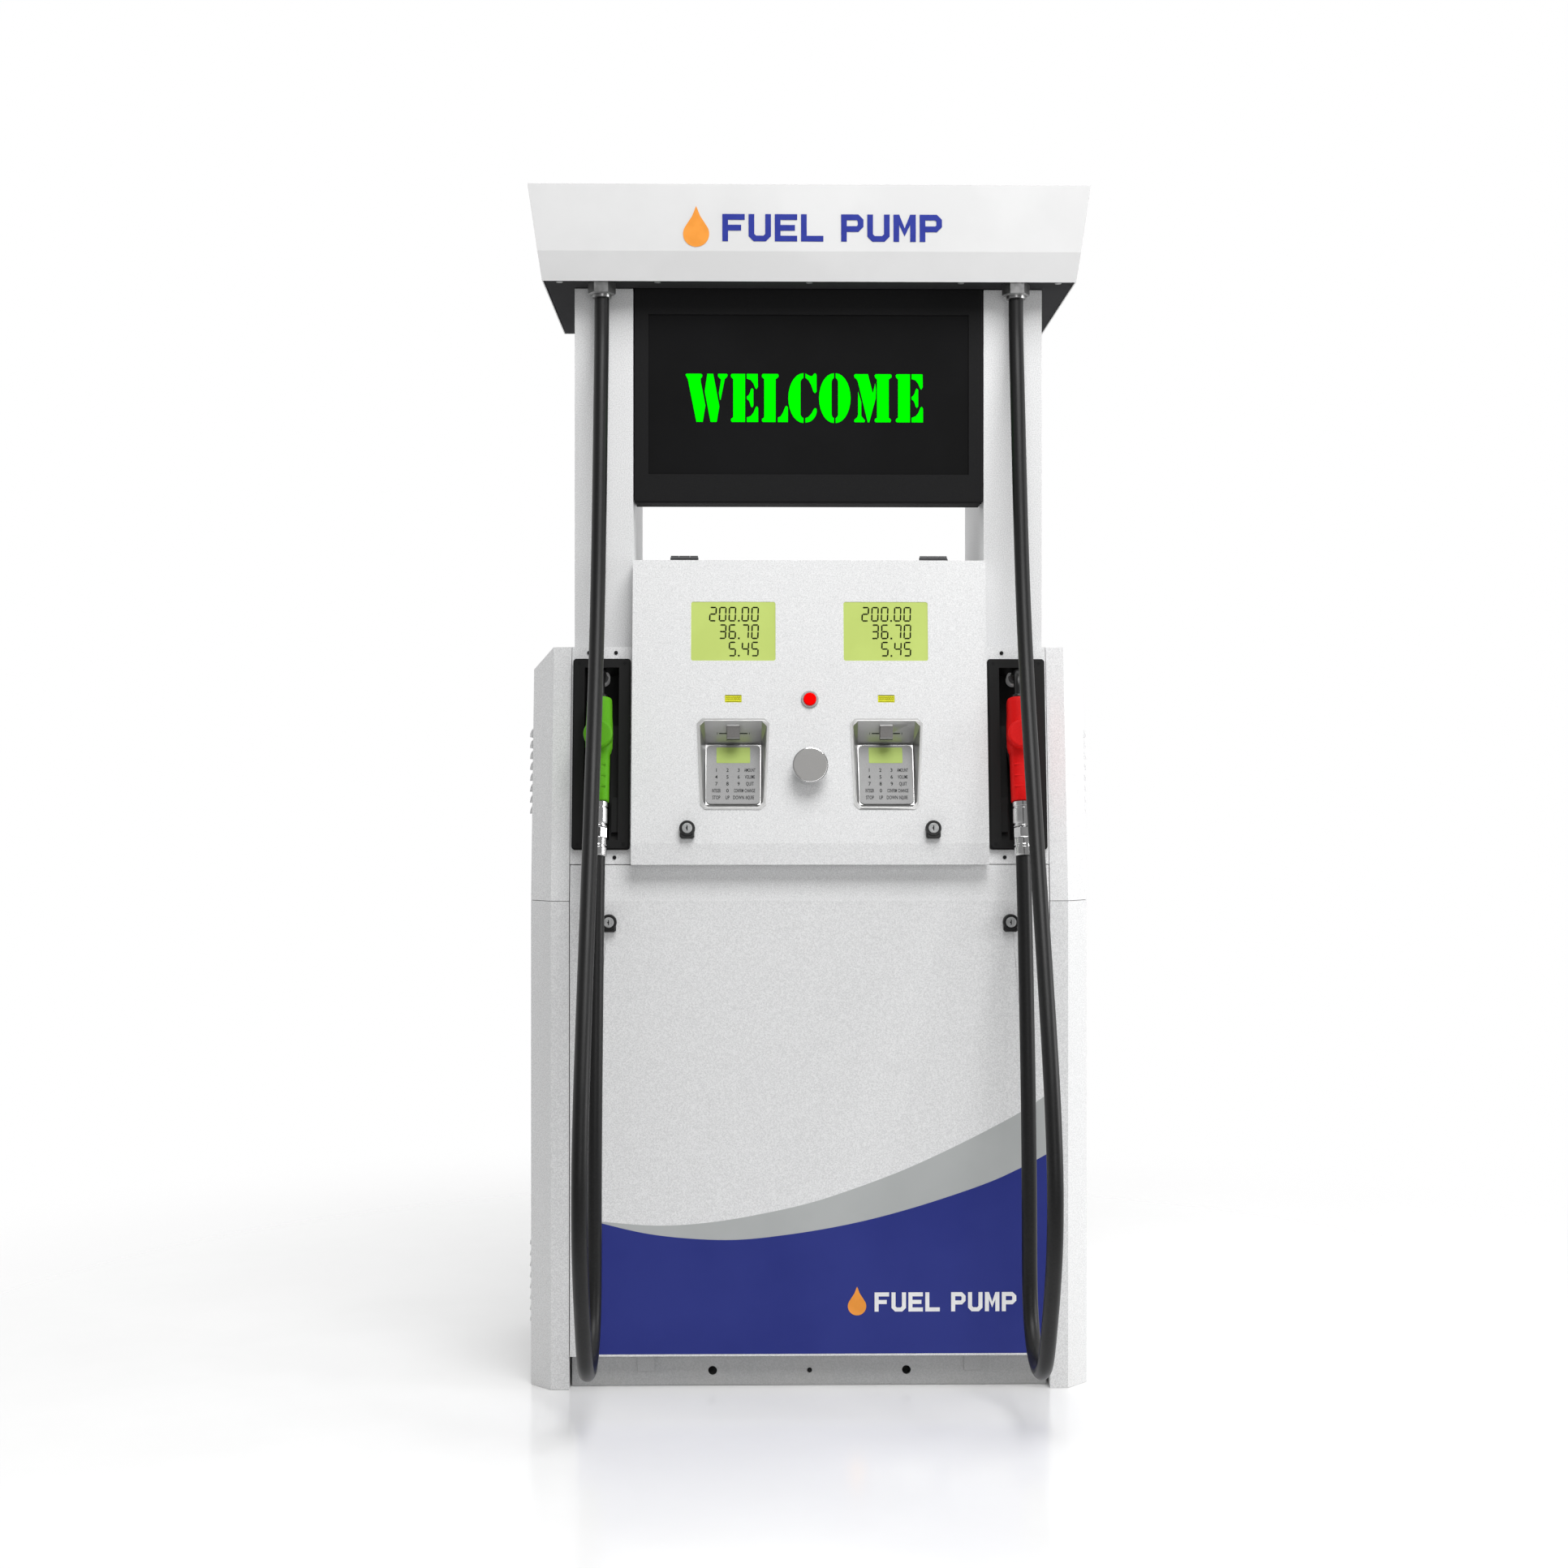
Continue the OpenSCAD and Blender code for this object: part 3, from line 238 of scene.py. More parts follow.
POWDER_WHITE = Finish("powder_white", (0.66, 0.663, 0.666), (0.84, 0.843, 0.846), rough=0.5, grain=520.0,
                      contrast=(0.36, 0.64), relief=0.3, relief_grain=600.0, dust=0.2)
CANOPY_WHITE = Finish("canopy_white", (0.66, 0.66, 0.66), (0.69, 0.69, 0.69), rough=0.4, grain=6.0,
                      pattern=Pattern.CLOUDY, relief=0.05, relief_grain=260.0, specular=0.3)
CANOPY_DARK = Finish("canopy_dark", (0.045, 0.045, 0.047), (0.055, 0.055, 0.057), rough=0.9, grain=500.0,
                     relief=0.0, specular=0.0)
FRAME_GREY = Finish("frame_grey", (0.38, 0.387, 0.394), (0.46, 0.467, 0.474), rough=0.55, grain=500.0,
                    relief=0.25, dust=0.4)
BEZEL_BLACK = Finish("bezel_black", (0.015, 0.015, 0.0155), (0.019, 0.019, 0.0195), rough=0.6, grain=1500.0,
                     relief=0.0, specular=0.02)
SCREEN_BLACK = Finish("screen_black", (0.0088, 0.0088, 0.009), (0.0105, 0.0105, 0.011), rough=0.35, grain=4.0,
                      rough_spread=0.05, pattern=Pattern.CLOUDY, relief=0.0, specular=0.02)
LED_GREEN = Finish("led_green", (0.0, 0.62, 0.0), (0.0, 0.64, 0.0), rough=0.9, grain=300.0, relief=0.0,
                   specular=0.0, glow=0.6)
BOARD_GREEN = Finish("board_green", (0.01, 0.09, 0.03), (0.02, 0.13, 0.045), rough=0.4, grain=160.0)
CHROME = Finish("chrome", (0.72, 0.72, 0.72), (0.80, 0.80, 0.80), rough=0.12, rough_spread=0.04, metal=1.0,
                grain=30.0, pattern=Pattern.CLOUDY, relief=0.04, relief_grain=300.0)
BOOT_BLACK = Finish("boot_black", (0.010, 0.010, 0.010), (0.014, 0.014, 0.014), rough=0.55, grain=1600.0,
                    relief=0.0, specular=0.15)
PLASTIC_BLACK = Finish("plastic_black", (0.010, 0.010, 0.010), (0.015, 0.015, 0.0155), rough=0.38, grain=900.0,
                       relief=0.15, specular=0.35)
CAST_GREY = Finish("cast_grey", (0.16, 0.19, 0.21), (0.21, 0.24, 0.26), rough=0.5, grain=260.0,
                   relief=0.6, relief_grain=350.0, dust=0.4)
ALUMINIUM = Finish("aluminium_cast", (0.50, 0.51, 0.52), (0.62, 0.63, 0.64), rough=0.42, metal=1.0,
                   grain=420.0, relief=0.6, relief_grain=600.0)
BRASS = Finish("brass", (0.60, 0.43, 0.17), (0.70, 0.52, 0.22), rough=0.3, metal=1.0, grain=60.0,
               pattern=Pattern.CLOUDY)
PIPE_STEEL = Finish("pipe_steel", (0.21, 0.225, 0.235), (0.28, 0.29, 0.30), rough=0.5, grain=200.0, relief=0.3)
BELT_RUBBER = Finish("belt_rubber", (0.012, 0.012, 0.012), (0.025, 0.025, 0.025), rough=0.7, grain=1400.0,
                     relief=0.6)
HOSE_RUBBER = Finish("hose_rubber", (0.0065, 0.0065, 0.0067), (0.010, 0.010, 0.0103), rough=0.42,
                     rough_spread=0.06, grain=260.0, contrast=(0.35, 0.7), relief=0.0, specular=0.3)
COVER_GREEN = Finish("cover_green", (0.085, 0.33, 0.006), (0.095, 0.36, 0.008), rough=0.5, grain=700.0,
                     relief=0.05, specular=0.15)
COVER_RED = Finish("cover_red", (0.76, 0.006, 0.006), (0.82, 0.008, 0.008), rough=0.5, grain=700.0,
                   relief=0.05, specular=0.15)
SPOUT_BLACK = Finish("spout_black", (0.006, 0.006, 0.006), (0.011, 0.011, 0.011), rough=0.28, grain=300.0)
LCD_FIELD = Finish("lcd_field", (0.49, 0.60, 0.16), (0.51, 0.625, 0.17), rough=0.5, grain=12.0,
                   pattern=Pattern.CLOUDY, relief=0.0, specular=0.05, glow=0.08)
LCD_SMALL = Finish("lcd_small", (0.38, 0.49, 0.135), (0.40, 0.515, 0.145), rough=0.5, grain=20.0,
                   pattern=Pattern.CLOUDY, relief=0.0, specular=0.1, glow=0.10)
LCD_INK = Finish("lcd_ink", (0.010, 0.012, 0.006), (0.015, 0.018, 0.008), rough=0.7, grain=80.0, relief=0.0,
                 specular=0.0)
COUNTER_YELLOW = Finish("counter_yellow", (0.72, 0.72, 0.0), (0.78, 0.78, 0.01), rough=0.35, grain=90.0)
STAINLESS = Finish("stainless", (0.44, 0.44, 0.435), (0.54, 0.54, 0.535), rough=0.3, metal=0.9, grain=900.0,
                   pattern=Pattern.BRUSHED, relief=0.15, relief_grain=900.0)
KEYPAD_GREY = Finish("keypad_grey", (0.30, 0.30, 0.30), (0.40, 0.40, 0.40), rough=0.55, grain=1300.0,
                     contrast=(0.3, 0.7), relief=0.1, specular=0.15)
GUIDE_GREY = Finish("guide_grey", (0.13, 0.125, 0.12), (0.16, 0.155, 0.15), rough=0.35, metal=0.3, grain=900.0)
PALM_GREY = Finish("palm_grey", (0.32, 0.315, 0.308), (0.34, 0.335, 0.328), rough=0.6, grain=900.0,
                   relief=0.0, specular=0.1)
BUTTON_RED = Finish("button_red", (0.90, 0.001, 0.001), (0.94, 0.0015, 0.0015), rough=0.6, grain=80.0,
                    relief=0.0, specular=0.0, glow=0.2)
LOCK_METAL = Finish("lock_metal", (0.34, 0.345, 0.345), (0.42, 0.425, 0.425), rough=0.45, metal=0.25, grain=200.0,
                    specular=0.3)
NUT_METAL = Finish("nut_metal", (0.20, 0.20, 0.20), (0.30, 0.30, 0.30), rough=0.28, metal=0.85, grain=60.0)
# Seat ring finish: its glow is a painted highlight, emission standing in for studio light catching the chrome ring deep
# in the shaded boot.
SEAT_METAL_PAINTED_GLINT = Finish("seat_metal_painted_glint", (0.66, 0.66, 0.66), (0.72, 0.72, 0.72), rough=0.3, metal=0.5, grain=60.0, glow=0.12)
HINGE_DARK = Finish("hinge_dark", (0.035, 0.035, 0.038), (0.05, 0.05, 0.054), rough=0.5, grain=700.0)
VINYL_BLUE = Finish("vinyl_blue", (0.025, 0.035, 0.21), (0.029, 0.040, 0.225), rough=0.4, grain=5.0,
                    pattern=Pattern.CLOUDY, relief=0.0, specular=0.12)
VINYL_GREY = Finish("vinyl_grey", (0.42, 0.435, 0.432), (0.45, 0.465, 0.462), rough=0.4, grain=5.0,
                    pattern=Pattern.CLOUDY, relief=0.0, specular=0.15)
INK_BLUE = Finish("ink_blue", (0.020, 0.032, 0.27), (0.023, 0.037, 0.29), rough=0.5, grain=40.0, relief=0.0,
                  specular=0.15)
INK_WHITE = Finish("ink_white", (0.80, 0.80, 0.80), (0.85, 0.85, 0.85), rough=0.35, grain=40.0, relief=0.0)
INK_ORANGE = Finish("ink_orange", (0.80, 0.28, 0.02), (0.86, 0.31, 0.03), rough=0.3, grain=40.0, relief=0.0)
INK_DARK = Finish("ink_dark", (0.008, 0.008, 0.009), (0.012, 0.012, 0.013), rough=0.6, grain=200.0, relief=0.0,
                  specular=0.0)
STUDIO_FLOOR = Finish("studio_floor", (0.86, 0.86, 0.86), (0.88, 0.88, 0.88), rough=0.16, rough_spread=0.03,
                      grain=3.0, pattern=Pattern.CLOUDY, relief=0.0, specular=0.35)

NODE_FINISH: dict[Finish, tuple[str, ...]] = {
    POWDER_WHITE: ("side_cover_left_lower", "side_cover_right_lower", "side_cover_left_upper",
                   "side_cover_right_upper", "column_left", "column_right", "infill_panels",
                   "electronics_box", "front_panel", "rear_panel", "rear_upper_panel", "control_door"),
    CANOPY_WHITE: ("canopy_shell",),
    CANOPY_DARK: ("canopy_underside",),
    FRAME_GREY: ("base_frame", "cross_plate", "cabinet_frame"),
    BEZEL_BLACK: ("display_housing",),
    SCREEN_BLACK: ("display_glass",),
    BOARD_GREEN: ("electronics",),
    CHROME: ("hose_outlets",),
    BOOT_BLACK: ("boot_left", "boot_right"),
    PLASTIC_BLACK: ("boot_flap_left", "boot_flap_right", "nozzle_lever_left", "nozzle_lever_right",
                    "totalizers", "lock_housings"),
    CAST_GREY: ("motor", "junction_box"),
    ALUMINIUM: ("pump_unit", "flow_meters", "motor_pulley", "pump_pulley"),
    BRASS: ("solenoid_valves", "meter_rotor_left", "meter_rotor_right"),
    PIPE_STEEL: ("pipework",),
    BELT_RUBBER: ("drive_belt",),
    SPOUT_BLACK: ("nozzle_spout_left", "nozzle_spout_right"),
    LCD_FIELD: ("lcd_windows",),
    STAINLESS: ("keypad_bowls", "keypads"),
    LOCK_METAL: ("button_collars", "door_lock_left", "door_lock_right", "panel_lock_left",
                 "panel_lock_right"),
    PALM_GREY: ("palm_button",),
    BUTTON_RED: ("red_button",),
    HINGE_DARK: ("hinge_brackets", "door_hinge_leaves"),
}


def dress(obj: bpy.types.Object, finish: Finish) -> None:
    """Give an object one finish in every material slot."""
    obj.data.materials.clear()
    obj.data.materials.append(finish.material())


# ---------------------------------------------------------------- mesh tools


def plane_at(x: float, y: float, z: float, lean: float = 0.0, turn: float = 0.0) -> Matrix:
    """Return a frame on an upright face, with its own units in millimetres.

    Args:
        x: Place to the side, in millimetres.
        y: Place in depth, in millimetres.
        z: Height, in millimetres.
        lean: Angle that the face leans back, in radians.
        turn: Angle about the upright axis from the operator's side, in radians.

    Returns:
        A matrix whose X runs right, Y up along the face and Z outwards.
    """
    return (Matrix.Translation((x * MM, y * MM, z * MM)) @ Matrix.Rotation(turn, 4, "Z")
            @ Matrix.Rotation(math.pi / 2 - lean, 4, "X") @ SCALE)


def shift(x: float = 0.0, y: float = 0.0, z: float = 0.0) -> Matrix:
    """Return a move along the axes."""
    return Matrix.Translation((x, y, z))


def about_x(angle: float) -> Matrix:
    """Return a turn about X by an angle in radians."""
    return Matrix.Rotation(angle, 4, "X")


def new_object(name: str, data: bpy.types.ID) -> bpy.types.Object:
    """Make an object from its data, put it in the scene and return it."""
    obj = bpy.data.objects.new(name, data)
    bpy.context.scene.collection.objects.link(obj)
    return obj


def fit(obj: bpy.types.Object, finish: Finish, body: str) -> bpy.types.Object:
    """Dress an object, let it ride on a CAD body and return it."""
    dress(obj, finish)
    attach(obj, body)
    return obj


def polygon(radius: float, height: float, turns: Sequence[float]) -> list[Point]:
    """Return the points of a level ring at the given angles in radians."""
    return [(radius * math.cos(a), radius * math.sin(a), height) for a in turns]


@dataclass
class Shape:
    """Vertices in metres and faces that grow into one mesh, drawn in millimetres."""

    points: list[Vector] = field(default_factory=list)
    faces: list[tuple[int, ...]] = field(default_factory=list)

    def add(self, points: Iterable[Sequence[float]], faces: Iterable[Sequence[int]],
            place: Matrix | None = None) -> "Shape":
        """Add vertices and faces, moved by a matrix.

        Args:
            points: New vertices.
            faces: New faces, numbered from the first new vertex.
            place: Where the new vertices go, from millimetres to metres.

        Returns:
            The shape itself.
        """
        first = len(self.points)
        place = place or SCALE
        self.points.extend(place @ Vector(p) for p in points)
        self.faces.extend(tuple(first + i for i in f) for f in faces)
        return self

    def loft(self, rings: Sequence[Sequence[Sequence[float]]], place: Matrix | None = None,
             ends: tuple[bool, bool] = (True, True), loop: bool = False) -> "Shape":
        """Skin a row of rings that have the same number of points.

        Args:
            rings: Rings, each a closed row of points.
            place: Where the rings go.
            ends: Whether the first and the last ring are filled.
            loop: Whether the last ring joins the first.

        Returns:
            The shape itself.
        """
        n = len(rings[0])
        faces: list[tuple[int, ...]] = []
        for i in range(len(rings) - (0 if loop else 1)):
            j = (i + 1) % len(rings)
            faces += [(i * n + k, i * n + (k + 1) % n, j * n + (k + 1) % n, j * n + k) for k in range(n)]
        if ends[0] and not loop:
            faces.append(tuple(range(n - 1, -1, -1)))
        if ends[1] and not loop:
            faces.append(tuple((len(rings) - 1) * n + k for k in range(n)))
        return self.add([p for ring in rings for p in ring], faces, place)

    def lathe(self, profile: Sequence[Flat], place: Matrix, steps: int = 48, closed: bool = False) -> "Shape":
        """Turn a profile of radius and height about Z.

        Args:
            profile: Radius and height of each step, from one end to the other.
            place: Where the turned part goes.
            steps: Sides of the turned part.
            closed: Whether the profile runs back to its start, as for a ring.

        Returns:
            The shape itself.
        """
        turn = [2 * math.pi * k / steps for k in range(steps)]
        return self.loft([polygon(r, h, turn) for r, h in profile], place, loop=closed)

    def slab(self, outline: Sequence[Flat], low: float, high: float, place: Matrix | None = None,
             chamfer: float = 0.0) -> "Shape":
        """Raise an outline into a slab with chamfered upper edges.

        Args:
            outline: Points round the slab, anticlockwise.
            low: Height of the lower face.
            high: Height of the upper face.
            place: Where the slab goes.
            chamfer: Size of the chamfer at the upper face.

        Returns:
            The shape itself.
        """
        rings = [[(x, y, low) for x, y in outline]]
        if chamfer:
            rings.append([(x, y, high - chamfer) for x, y in outline])
        inner = inset(outline, chamfer) if chamfer else outline
        rings.append([(x, y, high) for x, y in inner])
        return self.loft(rings, place)

    def tube(self, path: Sequence[Vector], radius: float, steps: int = 16, section: Sequence[Flat] | None = None,
             place: Matrix | None = None, ends: tuple[bool, bool] = (True, True)) -> "Shape":
        """Sweep a round or given section along a path in a plane of constant X.

        Args:
            path: Points of the path.
            radius: Radius of a round section.
            steps: Sides of a round section.
            section: Section to use instead, as sideways and inward offsets.
            place: Where the swept part goes.
            ends: Whether the ends are filled.

        Returns:
            The shape itself.
        """
        section = section or [(radius * math.cos(2 * math.pi * k / steps), radius * math.sin(2 * math.pi * k / steps))
                              for k in range(steps)]
        across = Vector((1.0, 0.0, 0.0))
        rings = []
        for i, p in enumerate(path):
            along = (path[min(i + 1, len(path) - 1)] - path[max(i - 1, 0)]).normalized()
            inward = along.cross(across).normalized()
            rings.append([p + across * u + inward * v for u, v in section])
        return self.loft(rings, place, ends=ends)

    def piece(self, name: str, finish: Finish, body: str, slot: str, sharp: float = 35.0,
              replaces: str | None = None) -> bpy.types.Object:
        """Make the mesh, dress it and let it ride on a body.

        Args:
            name: Name of the piece.
            finish: Its finish.
            body: CAD body that carries it.
            slot: Material slot in the record; not used.
            sharp: Angle in degrees past which an edge stays sharp.
            replaces: CAD node that it stands in for.

        Returns:
            The new object.
        """
        mesh = bpy.data.meshes.new(name)
        mesh.from_pydata([tuple(p) for p in self.points], [], self.faces)
        work = bmesh.new()
        work.from_mesh(mesh)
        bmesh.ops.remove_doubles(work, verts=work.verts, dist=1e-6)
        bmesh.ops.recalc_face_normals(work, faces=work.faces)
        work.to_mesh(mesh)
        work.free()
        mesh.shade_smooth()
        mesh.set_sharp_from_angle(angle=math.radians(sharp))
        log.info("%s: %d faces on %s", name, len(mesh.polygons), body)
        obj = fit(new_object(name, mesh), finish, body)
        if replaces:
            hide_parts(replaces)
        return obj


def inset(outline: Sequence[Flat], by: float) -> list[Flat]:
    """Move an outline's sides inwards.

    Args:
        outline: Points round the shape, anticlockwise.
        by: Distance to move.

    Returns:
        The smaller outline, with the same number of points.
    """
    result = []
    for i, here in enumerate(outline):
        before = Vector(outline[i - 1])
        after = Vector(outline[(i + 1) % len(outline)])
        a = (Vector(here) - before).normalized()
        b = (after - Vector(here)).normalized()
        mean = Vector((-(a.y + b.y), a.x + b.x))
        if mean.length < 1e-9:
            mean = Vector((-a.y, a.x))
        mean.normalize()
        reach = by / max(0.3, mean.dot(Vector((-a.y, a.x))))
        result.append((here[0] + mean.x * reach, here[1] + mean.y * reach))
    return result


def rounded(width: float, height: float, radius: float, corner: int = 5) -> list[Flat]:
    """Return the outline of a rectangle with round corners, anticlockwise, centred on the origin."""
    centres = [(width / 2 - radius, height / 2 - radius), (radius - width / 2, height / 2 - radius),
               (radius - width / 2, radius - height / 2), (width / 2 - radius, radius - height / 2)]
    turns = [(q * 90 + 90 * k / corner) for q in range(4) for k in range(corner + 1)]
    return [(centres[i // (corner + 1)][0] + radius * math.cos(math.radians(a)),
             centres[i // (corner + 1)][1] + radius * math.sin(math.radians(a))) for i, a in enumerate(turns)]


def box_slab(shape: Shape, low: Point, high: Point, place: Matrix | None = None) -> Shape:
    """Add an upright box between two corners to a shape and return the shape."""
    outline = [(low[0], low[1]), (high[0], low[1]), (high[0], high[1]), (low[0], high[1])]
    return shape.slab(outline, low[2], high[2], place or SCALE)


def smooth_path(knots: Sequence[Sequence[float]], steps: int) -> list[Vector]:
    """Return a Catmull-Rom curve through the knots.

    Args:
        knots: Points that the curve passes.
        steps: Steps from each knot to the next.

    Returns:
        The points of the curve, the last knot included.
    """
    line = [Vector(k) for k in knots]
    result: list[Vector] = []
    for i in range(len(line) - 1):
        a, b = line[i], line[i + 1]
        before, after = line[max(i - 1, 0)], line[min(i + 2, len(line) - 1)]
        for k in range(steps):
            t = k / steps
            result.append(0.5 * (2 * a + (b - before) * t + (2 * before - 5 * a + 4 * b - after) * t * t
                                 + (3 * a - before - 3 * b + after) * t ** 3))
    return result + [line[-1]]


def lettering(text: str, height: float, place: Matrix, name: str, finish: Finish, body: str,
              bold: float = 0.0, stretch: float = 1.0, depth: float = 0.0002, shear: float = 0.0,
              align: str = "CENTER") -> bpy.types.Object:
    """Make a word as a thin raised mesh.

    Args:
        text: Word to set.
        height: Height of a capital, in millimetres.
        place: Frame of the face; the word is centred on its origin.
        name: Name of the piece.
        finish: Its finish.
        body: CAD body that carries it.
        bold: How much each stroke is thickened, as a share of the height.
        stretch: Width against the font's own width.
        depth: How far the word stands off the face.
        shear: Slant of the letters.
        align: How the word lies about the origin.

    Returns:
        The new object.
    """
    cap_share = 0.69
    curve = bpy.data.curves.new(name, "FONT")
    curve.body = text
    curve.align_x = align
    curve.align_y = "CENTER"
    curve.size = height / cap_share
    curve.offset = bold * height
    curve.shear = shear
    curve.resolution_u = 3
    curve.extrude = depth / 2
    source = new_object(name + "_curve", curve)
    bpy.context.view_layer.update()
    mesh = bpy.data.meshes.new_from_object(source.evaluated_get(bpy.context.evaluated_depsgraph_get()))
    bpy.data.objects.remove(source)
    mesh.name = name
    mesh.transform(place @ Matrix.Translation((0, 0, depth / 2)) @ Matrix.Diagonal((stretch, 1, 1, 1)))
    return fit(new_object(name, mesh), finish, body)


# ---------------------------------------------------------------- layout


def low_high(node: str) -> tuple[Vector, Vector]:
    """Return the corners of a CAD node's box, in millimetres."""
    low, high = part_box(node)
    return low / MM, high / MM


@dataclass(frozen=True)
class Layout:
    """Main planes of the cabinet, in millimetres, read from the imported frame."""

    half_depth: float
    fold: float
    shoulder: float
    lean_back: float
    door_top: float
    door_bottom: float
    door_out: float = 40.0

    @classmethod
    def from_frame(cls) -> "Layout":
        """Measure the layout on the CAD nodes."""
        panel = low_high("front_panel")[0]
        upper_low, upper_high = low_high("side_cover_left_upper")
        door_low, door_high = low_high("control_door")
        return cls(half_depth=-panel.y, fold=round(upper_low.z), shoulder=round(upper_high.z + 0.5),
                   lean_back=64.0, door_top=door_high.z, door_bottom=door_low.z)

    @property
    def lean(self) -> float:
        """Angle that the upper front leans back, in radians."""
        return math.atan2(self.lean_back, self.shoulder - self.fold)

    def front_y(self, z: float) -> float:
        """Return the Y of the front skin at height z."""
        return -self.half_depth + max(0.0, z - self.fold) * math.tan(self.lean)

    def on_front(self, x: float, z: float) -> Matrix:
        """Return a frame on the leaning front skin."""
        return plane_at(x, self.front_y(z), z, self.lean)

    def on_door(self, x: float, z: float) -> Matrix:
        """Return a frame on the face of the control door."""
        return plane_at(x, self.front_y(z) - self.door_out, z, self.lean)

    def on_panel(self, x: float, z: float) -> Matrix:
        """Return a frame on the upright lower front panel."""
        return plane_at(x, -self.half_depth, z)


LAY = Layout.from_frame()


# ---------------------------------------------------------------- studio


@dataclass
class Studio:
    """Camera, light and floor."""

    eye: Point = (-0.1073, -4.241, 1.1074)
    tilt: float = -0.001
    pan: float = -0.0151
    lens: float = 50.0
    behind: float = 1.0
    before: float = 0.27
    dusk: Flat = (-0.45, 0.25)
    floor_radius: float = 5.0
    floor_fade: Flat = (0.7, 2.6)
    lamps: tuple[tuple[str, Point, Point, float, float], ...] = (
        ("key", (0.7, -2.5, 4.5), (0.0, 0.0, 1.0), 2.4, 150.0),
        ("front", (0.6, -5.8, 1.9), (0.0, 0.0, 1.1), 1.8, 30.0),
        ("side", (4.0, -0.9, 1.7), (0.4, 0.0, 1.1), 1.6, 60.0))

    def camera(self) -> None:
        """Make the camera."""
        data = bpy.data.cameras.new("camera")
        data.lens = self.lens
        data.sensor_width = 36.0
        cam = new_object("camera", data)
        cam.location = self.eye
        cam.rotation_euler = (math.pi / 2 + self.tilt, 0.0, self.pan)
        bpy.context.scene.camera = cam

    def light(self) -> None:
        """Light the room: bright behind the pump, dimmer before it, and soft boxes."""
        bpy.context.scene.view_settings.view_transform = "Standard"
        world = bpy.data.worlds.new("studio")
        bpy.context.scene.world = world
        world.use_nodes = True
        tree = world.node_tree
        coord = add_node(tree, "ShaderNodeTexCoord")
        split = add_node(tree, "ShaderNodeSeparateXYZ")
        ramp = remap(tree, self.dusk, (self.before, self.behind), smooth=True)
        ground = tree.nodes["Background"]
        ground.inputs["Color"].default_value = (1.0, 1.0, 1.0, 1.0)
        wire(tree, (coord, "Generated", split, "Vector"), (split, "Y", ramp, "Value"),
             (ramp, "Result", ground, "Strength"))
        for name, place, aim, size, power in self.lamps:
            data = bpy.data.lights.new(name, "AREA")
            data.shape = "SQUARE"
            data.size = size
            data.energy = power
            lamp = new_object(name, data)
            lamp.location = place
            lamp.rotation_euler = (Vector(aim) - Vector(place)).to_track_quat("-Z", "Y").to_euler()

    def floor(self) -> None:
        """Lay a glossy disc that fades out to the room's white."""
        steps = 64
        shape = Shape().add([(0.0, 0.0, 0.0)] + [
            (self.floor_radius / MM * math.cos(2 * math.pi * k / steps),
             self.floor_radius / MM * math.sin(2 * math.pi * k / steps), 0.0) for k in range(steps)],
            [(0, 1 + k, 1 + (k + 1) % steps) for k in range(steps)])
        mesh = bpy.data.meshes.new("floor")
        mesh.from_pydata([tuple(p) for p in shape.points], [], shape.faces)
        obj = new_object("floor", mesh)
        obj.location.z = -0.0005
        dress(obj, STUDIO_FLOOR)
        mat = STUDIO_FLOOR.material()
        tree = mat.node_tree
        coord = add_node(tree, "ShaderNodeTexCoord")
        length = add_node(tree, "ShaderNodeVectorMath", operation="LENGTH")
        fade = remap(tree, self.floor_fade, (1.0, 0.0), smooth=True)
        wire(tree, (coord, "Object", length, 0), (length, "Value", fade, "Value"),
             (fade, "Result", tree.nodes["Principled BSDF"], "Alpha"))


# ---------------------------------------------------------------- hoses


